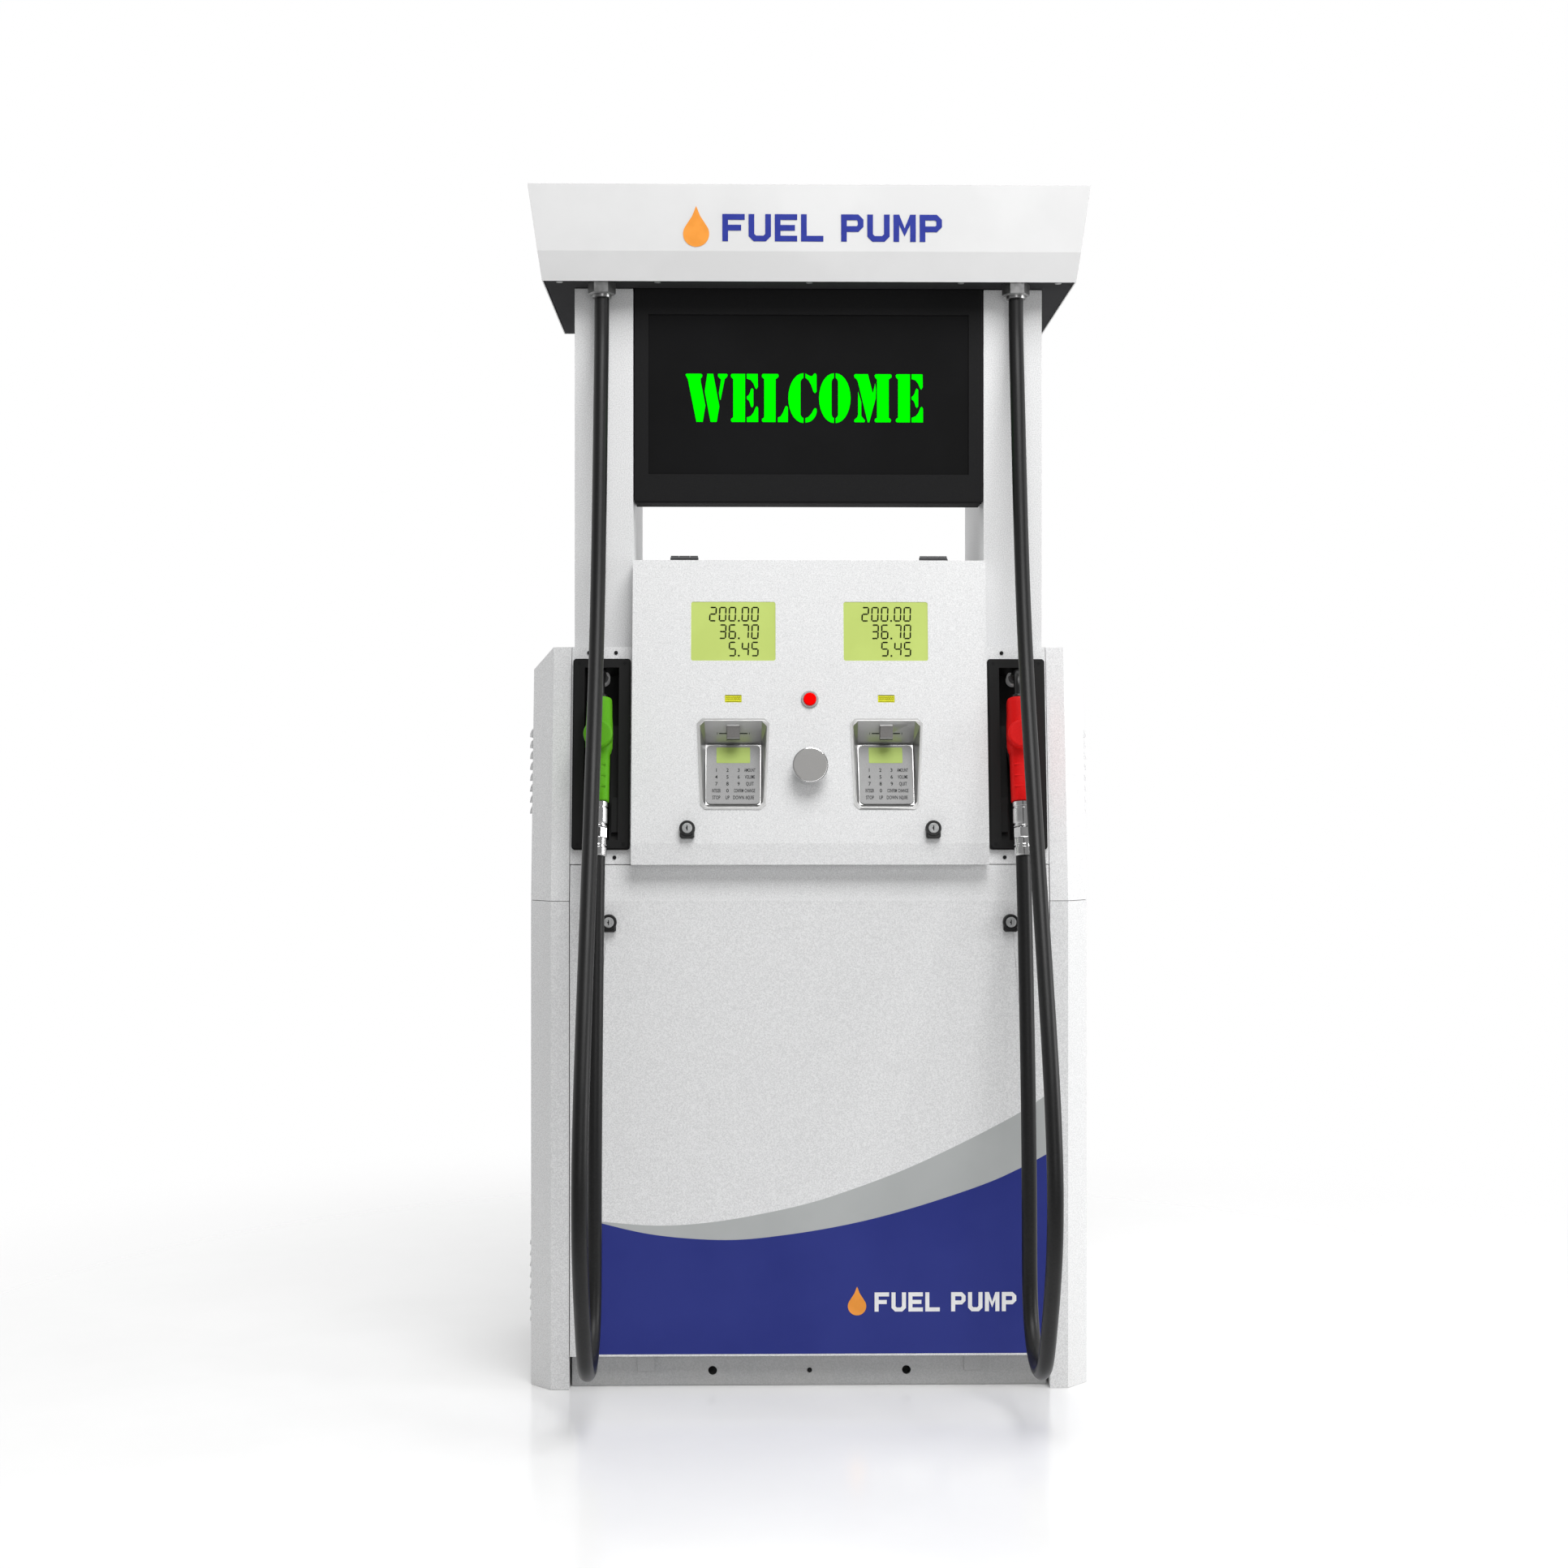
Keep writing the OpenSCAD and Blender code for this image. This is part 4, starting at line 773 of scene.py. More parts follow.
@dataclass
class Hose:
    """One hanging hose with its outlet fitting above."""

    side: str
    sign: float
    x: float = 383.0
    diameter: float = 27.0
    sides: int = 28
    steps: int = 8
    tail: Flat = (-324.916, 972.743)
    knots: tuple[Flat, ...] = (
        (-213, 2000), (-218, 1930), (-237, 1830), (-260, 1710), (-284, 1590), (-313, 1470), (-352, 1350),
        (-399, 1235), (-451, 1125), (-505, 1010), (-559, 900), (-614, 790), (-667, 680), (-712, 570),
        (-738, 460), (-733, 360), (-706, 280), (-674, 217), (-648, 172), (-617, 134), (-575, 112),
        (-527, 108), (-480, 122), (-443, 154), (-422, 198), (-414, 250), (-411, 340), (-405, 450),
        (-393, 570), (-376, 690), (-358, 800), (-340, 900))

    def path(self) -> list[Vector]:
        """Return the hose's centreline from the outlet to the nozzle, in millimetres."""
        return smooth_path([(self.sign * self.x, y, z) for y, z in (*self.knots, self.tail)], self.steps)

    def tube(self) -> bpy.types.Object:
        path = self.path()
        obj = Shape().tube(path, self.diameter / 2, self.sides).piece(
            f"hose_{self.side}_tube", HOSE_RUBBER, "root", "hose_rubber", sharp=60.0)
        obj.parent = None
        self._wrap(obj, len(path))
        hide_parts(f"hose_{self.side}")
        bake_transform(obj, "root", f"nozzle_{self.side}", (self.sign * self.x * MM, -0.25, 1.95),
                 (self.sign * self.x * MM, -0.25, 1.35))
        return obj

    def _wrap(self, obj: bpy.types.Object, rings: int) -> None:
        """Give the tube a UV map that runs along it and round it.

        Args:
            obj: The tube.
            rings: Number of rings along the tube.
        """
        layer = obj.data.uv_layers.new(name="along")
        for face in obj.data.polygons:
            for loop in face.loop_indices:
                vertex = obj.data.loops[loop].vertex_index
                layer.data[loop].uv = (vertex // self.sides / rings, vertex % self.sides / self.sides)

    def outlet(self) -> None:
        """Make the chrome fitting under the canopy: washer, hexagon and collar."""
        low, high = low_high("hose_outlets")
        place = Matrix.Translation((self.sign * self.x * MM, self.knots[0][0] * MM, low.z * MM)) @ SCALE
        tall = high.z - low.z
        turn = [math.radians(60 * k) for k in range(6)]
        rings = [polygon(r, h, turn) for r, h in ((22.0, 6.0), (25.6, 8.5), (25.6, tall - 5.5), (22.5, tall - 3.0))]
        shape = Shape().loft(rings, place)
        shape.lathe([(15.0, 0.0), (17.5, 0.6), (18.0, 2.0), (18.0, 6.4), (14.0, 6.8)], place, 36)
        shape.lathe([(20.0, tall - 3.4), (24.5, tall - 3.2), (24.8, tall - 1.6), (24.8, tall)], place, 36)
        shape.piece(f"hose_outlet_{self.side}", NUT_METAL, "root", "chrome", 25.0, "hose_outlets")


# ---------------------------------------------------------------- nozzles


@dataclass
class Nozzle:
    """A stored nozzle: moulded cover, cap, guard, lever, spout and swivel."""

    side: str
    sign: float
    cover: Finish
    slot: str
    x: float = 384.0
    y: float = -270.0
    z: float = 1193.0
    lean: float = math.radians(14.0)

    @property
    def place(self) -> Matrix:
        """Frame of the nozzle: Z along its body, -Y towards the operator."""
        return (Matrix.Translation((self.sign * self.x * MM, self.y * MM, self.z * MM))
                @ about_x(-self.lean) @ SCALE)

    @staticmethod
    def ring(rx: float, ry: float, z: float, square: float, back: float = 0.0, steps: int = 40) -> list[Point]:
        """Return one superellipse section of the cover.

        Args:
            rx: Half width.
            ry: Half depth.
            z: Height along the nozzle.
            square: Exponent; two is round, more is squarer.
            back: How far the section lies towards the boot.
            steps: Points round the section.

        Returns:
            The section's points.
        """
        result = []
        for k in range(steps):
            a = 2 * math.pi * k / steps
            c, s = math.cos(a), math.sin(a)
            result.append((rx * math.copysign(abs(c) ** (2 / square), c),
                           back + ry * math.copysign(abs(s) ** (2 / square), s), z))
        return result

    def body(self) -> None:
        """Make the moulded cover, its round cap and the hand guard."""
        sections = [(18.0, 19.0, -126.0, 2.6, 0.0), (19.6, 20.2, -124.5, 2.6, 0.0), (19.8, 20.4, -90.0, 2.7, 0.0),
                    (20.0, 20.6, -60.0, 2.8, 0.0), (20.2, 20.8, -36.5, 2.8, 0.0), (22.4, 22.6, -32.5, 2.5, 0.0),
                    (24.6, 24.4, -24.0, 2.2, 0.0), (25.0, 24.8, 2.0, 2.1, 0.0), (24.4, 24.6, 20.0, 2.2, 0.0),
                    (23.4, 24.0, 36.0, 2.3, 0.0), (23.0, 23.4, 58.0, 2.4, 0.0), (22.6, 23.0, 64.0, 2.4, 0.0),
                    (21.6, 22.0, 66.6, 2.4, 0.0), (19.5, 19.5, 68.0, 2.3, 0.0)]
        shape = Shape().loft([self.ring(*s) for s in sections], self.place)
        cap = self.place @ OUTWARD @ shift(0.0, -6.5, 0.0)
        shape.lathe([(25.2, 0.0), (25.6, 22.0), (26.2, 23.0), (26.2, 34.5), (25.4, 36.6), (23.6, 37.8),
                     (22.4, 38.0), (20.5, 38.0), (0.01, 38.0)], cap, 64)
        guard = smooth_path([(0, 16, -121), (0, 40, -121), (0, 51, -118), (0, 53.5, -108), (0, 53.5, -75),
                             (0, 53.5, -42), (0, 51, -30), (0, 42, -25), (0, 18, -24)], 5)
        shape.tube(guard, 1.0, section=rounded(15.5, 9.0, 3.6, 4), place=self.place)
        for z in (-100.0, -80.0, -60.0):
            shape.slab(rounded(30.0, 3.0, 1.4, 3), 0.0, 1.2, self.place @ OUTWARD @ shift(0.0, z, 19.4), 0.4)
        body = f"nozzle_{self.side}"
        shape.piece(f"nozzle_cover_{self.side}", self.cover, body, self.slot, 40.0, body)

    def spout(self) -> None:
        """Make the bent spout with its collar."""
        high = low_high(f"nozzle_spout_{self.side}")[1]
        turn = self.lean - LAY.lean
        start, radius = self._bend()
        arc = [Vector((0.0, radius * (1 - math.cos(a)), start + radius * math.sin(a)))
               for a in [(math.pi / 2 - turn) * k / 10 for k in range(11)]]
        along = Vector((0.0, math.cos(turn), math.sin(turn)))
        end = arc[-1] + along * self._straight(arc[-1], high, along)
        path = [Vector((0.0, 0.0, 56.0)), Vector((0.0, 0.0, start - 2.0)), *arc,
                *[arc[-1].lerp(end, t) for t in (0.25, 0.5, 0.75, 0.97)], end]
        shape = Shape().tube(path, 9.0, 28, place=self.place)
        shape.lathe([(13.5, 67.0), (14.2, 68.0), (14.2, 74.0), (13.0, 75.5), (9.2, 76.0)], self.place, 36)
        shape.piece(f"spout_{self.side}", SPOUT_BLACK, f"nozzle_{self.side}", "spout_black", 40.0,
                    f"nozzle_spout_{self.side}")

    def _bend(self) -> Flat:
        """Return where the spout's bend starts along the nozzle, and its radius."""
        radius = 30.0
        turn = self.lean - LAY.lean
        up = (self.z - BOOT_Z) * math.cos(LAY.lean) + (self.y - LAY.front_y(BOOT_Z)) * math.sin(LAY.lean)
        return (BOOT_SEAT - up - radius * (1 - math.sin(turn))) / math.cos(turn), radius

    def _straight(self, start: Vector, high: Vector, along: Vector) -> float:
        """Return how far the spout runs straight on from the end of its bend.

        Args:
            start: End of the bend, in the nozzle's frame.
            high: Highest corner of the CAD spout, in millimetres.
            along: Direction of the spout there.

        Returns:
            The length in millimetres.
        """
        world = self.place @ start / MM
        heading = (self.place.to_3x3() @ along).normalized()
        return (high.y - 9.0 * abs(heading.z) - world.y) / heading.y - 0.5

    def lever(self) -> None:
        """Make the lever in the guard."""
        pivot = self.place @ shift(0.0, 30.0, -6.0) @ about_x(math.radians(4.0))
        path = smooth_path([(0, 0, 2), (0, 0.5, -20), (0, 1.0, -50), (0, 2.0, -72), (0, 0.0, -92), (0, 0.0, -99)], 4)
        shape = Shape().tube(path, 1.0, section=rounded(8.6, 4.6, 1.6, 3), place=pivot)
        shape.lathe([(5.9, -5.0), (5.9, 5.0)], pivot @ Matrix.Rotation(math.pi / 2, 4, "Y"), 28)
        shape.lathe([(2.9, -9.0), (2.9, 9.0)], pivot @ Matrix.Rotation(math.pi / 2, 4, "Y"), 20)
        body = f"nozzle_lever_{self.side}"
        shape.piece(f"lever_{self.side}", PLASTIC_BLACK, body, "black_plastic", replaces=body)

    def swivel(self) -> None:
        """Make the turned chrome swivel with its octagonal nut."""
        down = self.place @ Matrix.Diagonal((1.0, -1.0, -1.0, 1.0)) @ shift(0.0, 0.0, 126.5)
        profile = [(11.0, -19.0), (11.0, -0.2), (17.2, 0.0), (18.3, 1.2), (18.3, 9.0), (16.9, 10.2), (16.9, 12.2),
                   (18.5, 13.4), (18.5, 38.0), (17.3, 40.5), (15.5, 41.0), (15.5, 44.0), (17.6, 45.0),
                   (17.6, 47.0), (14.5, 48.0), (14.5, 67.5), (16.9, 68.5), (16.9, 79.0), (15.2, 80.5),
                   (15.2, 84.0), (17.4, 85.0), (17.4, 97.5), (16.0, 100.4), (13.7, 100.4)]
        shape = Shape().lathe(profile, down, 64)
        turn = [math.radians(45 * k + 22.5) for k in range(8)]
        shape.loft([polygon(r, h, turn) for r, h in ((17.0, 48.4), (18.4, 49.6), (18.4, 66.2), (17.0, 67.4))], down)
        body = f"nozzle_swivel_{self.side}"
        shape.piece(f"swivel_{self.side}", CHROME, body, "chrome", 25.0, body)

    def build(self) -> None:
        """Make all pieces of the nozzle."""
        self.body()
        self.spout()
        self.lever()
        self.swivel()


# ---------------------------------------------------------------- repeated parts


def new_tree(name: str, entries: Sequence[tuple[str, str]]) -> bpy.types.NodeTree:
    """Make a Geometry Nodes tree.

    Args:
        name: Name of the tree.
        entries: Label and type of each input.

    Returns:
        The tree, with one Geometry output.
    """
    tree = bpy.data.node_groups.new(name, "GeometryNodeTree")
    for label, kind in entries:
        tree.interface.new_socket(label, in_out="INPUT", socket_type=f"NodeSocket{kind}")
    tree.interface.new_socket("Geometry", in_out="OUTPUT", socket_type="NodeSocketGeometry")
    return tree


def paint_instances(tree: bpy.types.NodeTree, given: bpy.types.Node, place: bpy.types.Node) -> None:
    """Turn a tree's instances into its output mesh, in the given finish.

    Args:
        tree: Geometry Nodes tree.
        given: Its input node.
        place: Node that makes the instances.
    """
    solid, paint, done = (add_node(tree, kind) for kind in (
        "GeometryNodeRealizeInstances", "GeometryNodeSetMaterial", "NodeGroupOutput"))
    wire(tree, (place, "Instances", solid, "Geometry"), (solid, "Geometry", paint, "Geometry"),
         (given, "Finish", paint, "Material"), (paint, "Geometry", done, "Geometry"))


@dataclass(frozen=True)
class Bolts:
    """Bolt heads set on points by a Geometry Nodes tree."""

    name: str
    body: str
    slot: str
    finish: Finish
    radius: float = 4.0
    height: float = 2.5
    corners: int = 6
    washer: float = 0.0

    def _tree(self) -> bpy.types.NodeTree:
        """Build the node tree: a head and a washer, turned to each point's own direction."""
        tree = new_tree(f"bolts_{self.name}", (
            ("Geometry", "Geometry"), ("Radius", "Float"), ("Height", "Float"), ("Corners", "Int"),
            ("Washer", "Float"), ("Finish", "Material")))
        given = add_node(tree, "NodeGroupInput")
        parts = add_node(tree, "GeometryNodeJoinGeometry")
        for radius, tall, corners in (("Radius", 1.0, "Corners"), ("Washer", 0.4, None)):
            head = add_node(tree, "GeometryNodeMeshCylinder")
            head.inputs["Vertices"].default_value = 24
            height = add_node(tree, "ShaderNodeMath", operation="MULTIPLY")
            height.inputs[1].default_value = tall
            wire(tree, (given, "Height", height, 0), (height, "Value", head, "Depth"), (given, radius, head, "Radius"))
            if corners:
                wire(tree, (given, corners, head, "Vertices"))
            wire(tree, (head, "Mesh", parts, "Geometry"))
        aim = add_node(tree, "GeometryNodeInputNamedAttribute", data_type="FLOAT_VECTOR")
        aim.inputs["Name"].default_value = "aim"
        turn = add_node(tree, "FunctionNodeAlignRotationToVector", axis="Z")
        place = add_node(tree, "GeometryNodeInstanceOnPoints")
        wire(tree, (aim, "Attribute", turn, "Vector"), (given, "Geometry", place, "Points"),
             (parts, "Geometry", place, "Instance"), (turn, "Rotation", place, "Rotation"))
        paint_instances(tree, given, place)
        return tree

    def set_on(self, places: Sequence[Matrix]) -> bpy.types.Object:
        """Set one bolt on each frame, its head along the frame's Z.

        Args:
            places: Frames of the bolts.

        Returns:
            One mesh with all bolts.
        """
        mesh = bpy.data.meshes.new(f"{self.name}_points")
        mesh.from_pydata([p.translation for p in places], [], [])
        aim = mesh.attributes.new("aim", "FLOAT_VECTOR", "POINT")
        for k, p in enumerate(places):
            aim.data[k].vector = (p.to_3x3() @ Vector((0.0, 0.0, 1.0))).normalized()
        seed = new_object(f"{self.name}_seed", mesh)
        modifier = seed.modifiers.new("bolts", "NODES")
        modifier.node_group = self._tree()
        values = {"Radius": self.radius * MM, "Height": 2 * self.height * MM, "Corners": self.corners,
                  "Washer": max(self.washer, self.radius * 0.5) * MM, "Finish": self.finish.material()}
        for item in modifier.node_group.interface.items_tree:
            if item.in_out == "INPUT" and item.name in values:
                modifier[item.identifier] = values[item.name]
        return freeze(seed, self.name, self.finish, self.body)


def freeze(seed: bpy.types.Object, name: str, finish: Finish, body: str) -> bpy.types.Object:
    """Turn a Geometry Nodes result into a plain mesh that rides on a body.

    Args:
        seed: Object with the modifier; it is removed.
        name: Name of the new piece.
        finish: Its finish.
        body: CAD body that carries it.

    Returns:
        The new object.
    """
    bpy.context.view_layer.update()
    mesh = bpy.data.meshes.new_from_object(seed.evaluated_get(bpy.context.evaluated_depsgraph_get()))
    mesh.name = name
    bpy.data.objects.remove(seed)
    for attribute in [a.name for a in mesh.attributes if a.name in ("aim", "UVMap")]:
        mesh.attributes.remove(mesh.attributes[attribute])
    return fit(new_object(name, mesh), finish, body)


@dataclass(frozen=True)
class Row:
    """Equal bars set out along a line by a Geometry Nodes tree, such as fins or ribs."""

    name: str
    body: str
    slot: str
    finish: Finish
    start: Point
    pitch: Point
    count: int
    size: Point

    def build(self) -> bpy.types.Object:
        """Build the row and return it as one plain mesh."""
        tree = new_tree(f"row_{self.name}", (
            ("Start", "Vector"), ("Pitch", "Vector"), ("Count", "Int"), ("Size", "Vector"), ("Finish", "Material")))
        given, line, bar, place = (add_node(tree, kind) for kind in (
            "NodeGroupInput", "GeometryNodeMeshLine", "GeometryNodeMeshCube", "GeometryNodeInstanceOnPoints"))
        wire(tree, (given, "Start", line, "Start Location"), (given, "Pitch", line, "Offset"),
             (given, "Count", line, "Count"), (given, "Size", bar, "Size"), (line, "Mesh", place, "Points"),
             (bar, "Mesh", place, "Instance"))
        paint_instances(tree, given, place)
        seed = new_object(f"{self.name}_seed", bpy.data.meshes.new(f"{self.name}_seed"))
        modifier = seed.modifiers.new("row", "NODES")
        modifier.node_group = tree
        values = {"Start": [v * MM for v in self.start], "Pitch": [v * MM for v in self.pitch], "Count": self.count,
                  "Size": [v * MM for v in self.size], "Finish": self.finish.material()}
        for item in tree.interface.items_tree:
            if item.in_out == "INPUT":
                modifier[item.identifier] = values[item.name]
        return freeze(seed, self.name, self.finish, self.body)


# ---------------------------------------------------------------- control door


SEGMENTS: dict[str, str] = {"0": "abcdef", "1": "bc", "2": "abged", "3": "abgcd", "4": "fgbc", "5": "afgcd",
                            "6": "afgedc", "7": "abc", "8": "abcdefg", "9": "abcdfg"}


@dataclass(frozen=True)
class Readout:
    """Seven-segment figures, set out to the left from their right end."""

    tall: float
    wide: float
    pitch: float
    stroke: float
    step: float = 6.0
    slant: float = 0.04

    def _bar(self, shape: Shape, place: Matrix, middle: Flat, long: float, upright: bool) -> None:
        """Add one pointed bar.

        Args:
            shape: Shape that gets the bar.
            place: Frame of the readout.
            middle: Middle of the bar.
            long: Length of the bar.
            upright: Whether it stands or lies.
        """
        h, w = long / 2 - 0.4, self.stroke / 2
        outline = [(-h, 0.0), (-h + w, -w), (h - w, -w), (h, 0.0), (h - w, w), (-h + w, w)]
        if upright:
            outline = [(-y, x) for x, y in outline]
        outline = [(middle[0] + x + self.slant * (middle[1] + y), middle[1] + y) for x, y in outline]
        shape.slab(outline, 0.0, 0.25, place)

    def write(self, shape: Shape, text: str, place: Matrix, right: float, middle: float) -> None:
        """Write a number.

        Args:
            shape: Shape that gets the figures.
            text: Figures and dots.
            place: Frame of the readout.
            right: Right end of the number.
            middle: Height of the number's middle.
        """
        x = right - self.wide / 2
        half, quarter = self.tall / 2, self.tall / 4
        side = self.wide / 2
        spots = {"a": ((0.0, half), False), "d": ((0.0, -half), False), "g": ((0.0, 0.0), False),
                 "b": ((side, quarter), True), "c": ((side, -quarter), True),
                 "e": ((-side, -quarter), True), "f": ((-side, quarter), True)}
        for mark in reversed(text):
            if mark == ".":
                dot = self.stroke * 0.62
                at = x + self.wide / 2 - self.step / 2 + (self.pitch - self.wide) / 2
                box_slab(shape, (at - dot, middle - half - dot, 0.0), (at + dot, middle - half + dot, 0.25), place)
                x -= self.step
                continue
            for part in SEGMENTS[mark]:
                (dx, dy), upright = spots[part]
                spot = place @ shift(0.0, middle, 0.0)
                self._bar(shape, spot, (x + dx, dy), half if upright else self.wide, upright)
            x -= self.pitch


@dataclass
class SideControls:
    """Windows, counter and keypad of one side on the control door."""

    side: str
    sign: float
    pitch: float = 280.0
    lines: tuple[str, ...] = ("200.00", "36.70", "5.45")
    keys: tuple[tuple[str, ...], ...] = (
        ("1", "2", "3", "AMOUNT"), ("4", "5", "6", "VOLUME"), ("7", "8", "9", "QUIT"),
        ("INTEGER", "0", "CONFIRM", "CHANGE"), ("STOP", "UP", "DOWN", "INQUIRE"))

    @property
    def x(self) -> float:
        """Centre of this side's controls."""
        return self.sign * self.pitch / 2

    def window(self) -> None:
        """Make the reflective field and the dark figures of the sale window."""
        place = LAY.on_door(self.x, WINDOW_Z)
        field_place = place @ shift(0.0, 0.0, -1.6)
        field_shape = Shape().slab(rounded(157.0, 112.0, 3.0, 4), -0.3, 0.9, field_place)
        field_shape.piece(f"window_field_{self.side}", LCD_FIELD, "control_door", "lcd_green")
        figures = Shape()
        readout = Readout(tall=25.0, wide=11.2, pitch=17.8, stroke=2.6)
        for text, middle in zip(self.lines, (32.0, -0.8, -33.2)):
            readout.write(figures, text, place @ shift(0.0, 0.0, -0.7), 45.5, middle)
        figures.piece(f"window_figures_{self.side}", LCD_INK, "control_door", "lcd_green")

    def counter(self) -> None:
        """Make the small totalizer window with its drums."""
        place = LAY.on_door(self.x, COUNTER_Z)
        shape = Shape().slab(rounded(30.4, 13.6, 0.8, 3), -2.2, -0.9, place)
        shape.piece(f"counter_field_{self.side}", COUNTER_YELLOW, "control_door", "lcd_green")
        marks = Shape()
        readout = Readout(tall=5.0, wide=2.4, pitch=3.9, stroke=0.75, slant=0.0)
        readout.write(marks, "0000000", place @ shift(0.0, 0.0, -0.9), 12.8, 0.3)
        for edge in (5.6, -5.6):
            box_slab(marks, (-14.2, edge - 0.35, -0.9), (14.2, edge + 0.35, -0.7), place)
        marks.piece(f"counter_marks_{self.side}", LCD_INK, "control_door", "lcd_green")

    @property
    def pad_lean(self) -> float:
        """Slope of the keypad against the door's face, in radians."""
        return math.atan2(35.0, 112.0)

    @property
    def pad(self) -> Matrix:
        """Frame of the keypad's face: origin at its lower edge, X right, Y up the slope."""
        return (LAY.on_door(self.x, RECESS_Z) @ shift(0.0, -74.0, -8.0) @ about_x(-self.pad_lean)
                @ shift(0.0, 0.0, 2.6))

    def keypad(self) -> None:
        """Make the keypad plate, its display and its legends."""
        plate = Shape().slab([(x, y + 60.0) for x, y in rounded(99.0, 119.0, 9.0, 6)], -2.0, 0.0, self.pad, 0.6)
        plate.piece(f"keypad_plate_{self.side}", KEYPAD_GREY, "control_door", "stainless", replaces="keypads")
        display = Shape().slab([(x, y + 98.8) for x, y in rounded(61.8, 31.8, 1.6, 3)], -0.1, 0.35, self.pad, 0.1)
        display.piece(f"keypad_display_{self.side}", LCD_SMALL, "control_door", "lcd_green")
        legends = []
        for row, words in enumerate(self.keys):
            for column, word in enumerate(words):
                spot = self.pad @ shift(-30.8 + 20.4 * column, 68.2 - 13.8 * row, 0.02)
                wide = 0.9 if len(word) == 1 else min(0.6, 2.75 / len(word))
                legends.append(lettering(word, 7.0, spot, f"legend_{self.side}_{row}_{column}", INK_DARK,
                                         "control_door", bold=0.016, stretch=wide, depth=0.12))
        merge(legends, f"keypad_legends_{self.side}")

    def recess(self) -> None:
        """Make the card guide and the card slot in the recess ceiling, and a bright lip round the recess; the card slot
        is dark bars of painted shade for the slot opening.
        """
        ceiling = (LAY.on_door(self.x, RECESS_Z) @ shift(0.0, 60.4, -22.5)
                   @ about_x(math.atan2(45.0, 36.7)))
        side_view = [(-22.8, 60.5), (-22.8, 49.0), (-21.0, 47.2), (-7.4, 47.2), (-5.2, 49.4), (-5.2, 70.0),
                     (-7.0, 72.4)]
        guide = Shape().slab(side_view, -12.0, 12.0, LAY.on_door(self.x, RECESS_Z) @ SIDEWAYS, 1.0)
        guide.piece(f"card_guide_{self.side}", GUIDE_GREY, "control_door", "stainless")
        # Card slot: dark ink bars on the recess ceiling, painted shade standing in for the shaded slot opening and its
        # ends.
        slot = Shape()
        box_slab(slot, (-26.0, -2.0, 0.05), (26.0, 0.2, 0.35), ceiling)
        for x in (-29.5, 29.5):
            box_slab(slot, (x - 0.4, -3.4, 0.05), (x + 0.4, 1.4, 0.3), ceiling)
        slot.piece(f"card_slot_{self.side}", INK_DARK, "control_door", "stainless")
        self._lip().piece(f"recess_lip_{self.side}", STAINLESS, "control_door", "stainless", sharp=50.0)

    def _lip(self) -> Shape:
        """Return the rounded lip that frames the recess on the door's face."""
        half, low, high = 156.0 / math.cos(LAY.lean) / 2, 109.7 / 2, 122.6 / 2
        corners = [(-low, -half), (low, -half), (high, half), (-high, half)]
        radius, line = 9.0, []
        for k, corner in enumerate(corners):
            here = Vector(corner)
            back = (Vector(corners[k - 1]) - here).normalized() * radius
            ahead = (Vector(corners[(k + 1) % 4]) - here).normalized() * radius
            for t in (0.0, 0.2, 0.4, 0.6, 0.8, 1.0):
                line.append(here + back * (1 - t) ** 2 + ahead * t ** 2)
        place = LAY.on_door(self.x, RECESS_Z)
        rings = []
        for k, p in enumerate(line):
            along = (line[(k + 1) % len(line)] - line[k - 1]).normalized()
            out = Vector((along.y, -along.x))
            rings.append([(p.x + out.x * a, p.y + out.y * a, h)
                          for a, h in ((-0.3, -1.0), (-0.1, 0.7), (0.6, 1.25), (1.6, 1.25), (2.4, 0.6), (2.6, 0.0),
                                       (1.0, -1.0))])
        return Shape().loft(rings, place, loop=True)

    def build(self) -> None:
        """Make everything on this side."""
        self.window()
        self.counter()
        self.keypad()
        self.recess()


def merge(objects: Sequence[bpy.types.Object], name: str) -> bpy.types.Object:
    """Join flat pieces of one finish and body into one object.

    Args:
        objects: Pieces to join; only the first is kept.
        name: Name of the result.

    Returns:
        The joined object.
    """
    first = objects[0]
    work = bmesh.new()
    for obj in objects:
        work.from_mesh(obj.data)
    work.to_mesh(first.data)
    work.free()
    for obj in objects[1:]:
        bpy.data.objects.remove(obj)
    first.name = name
    first.data.name = name
    return first


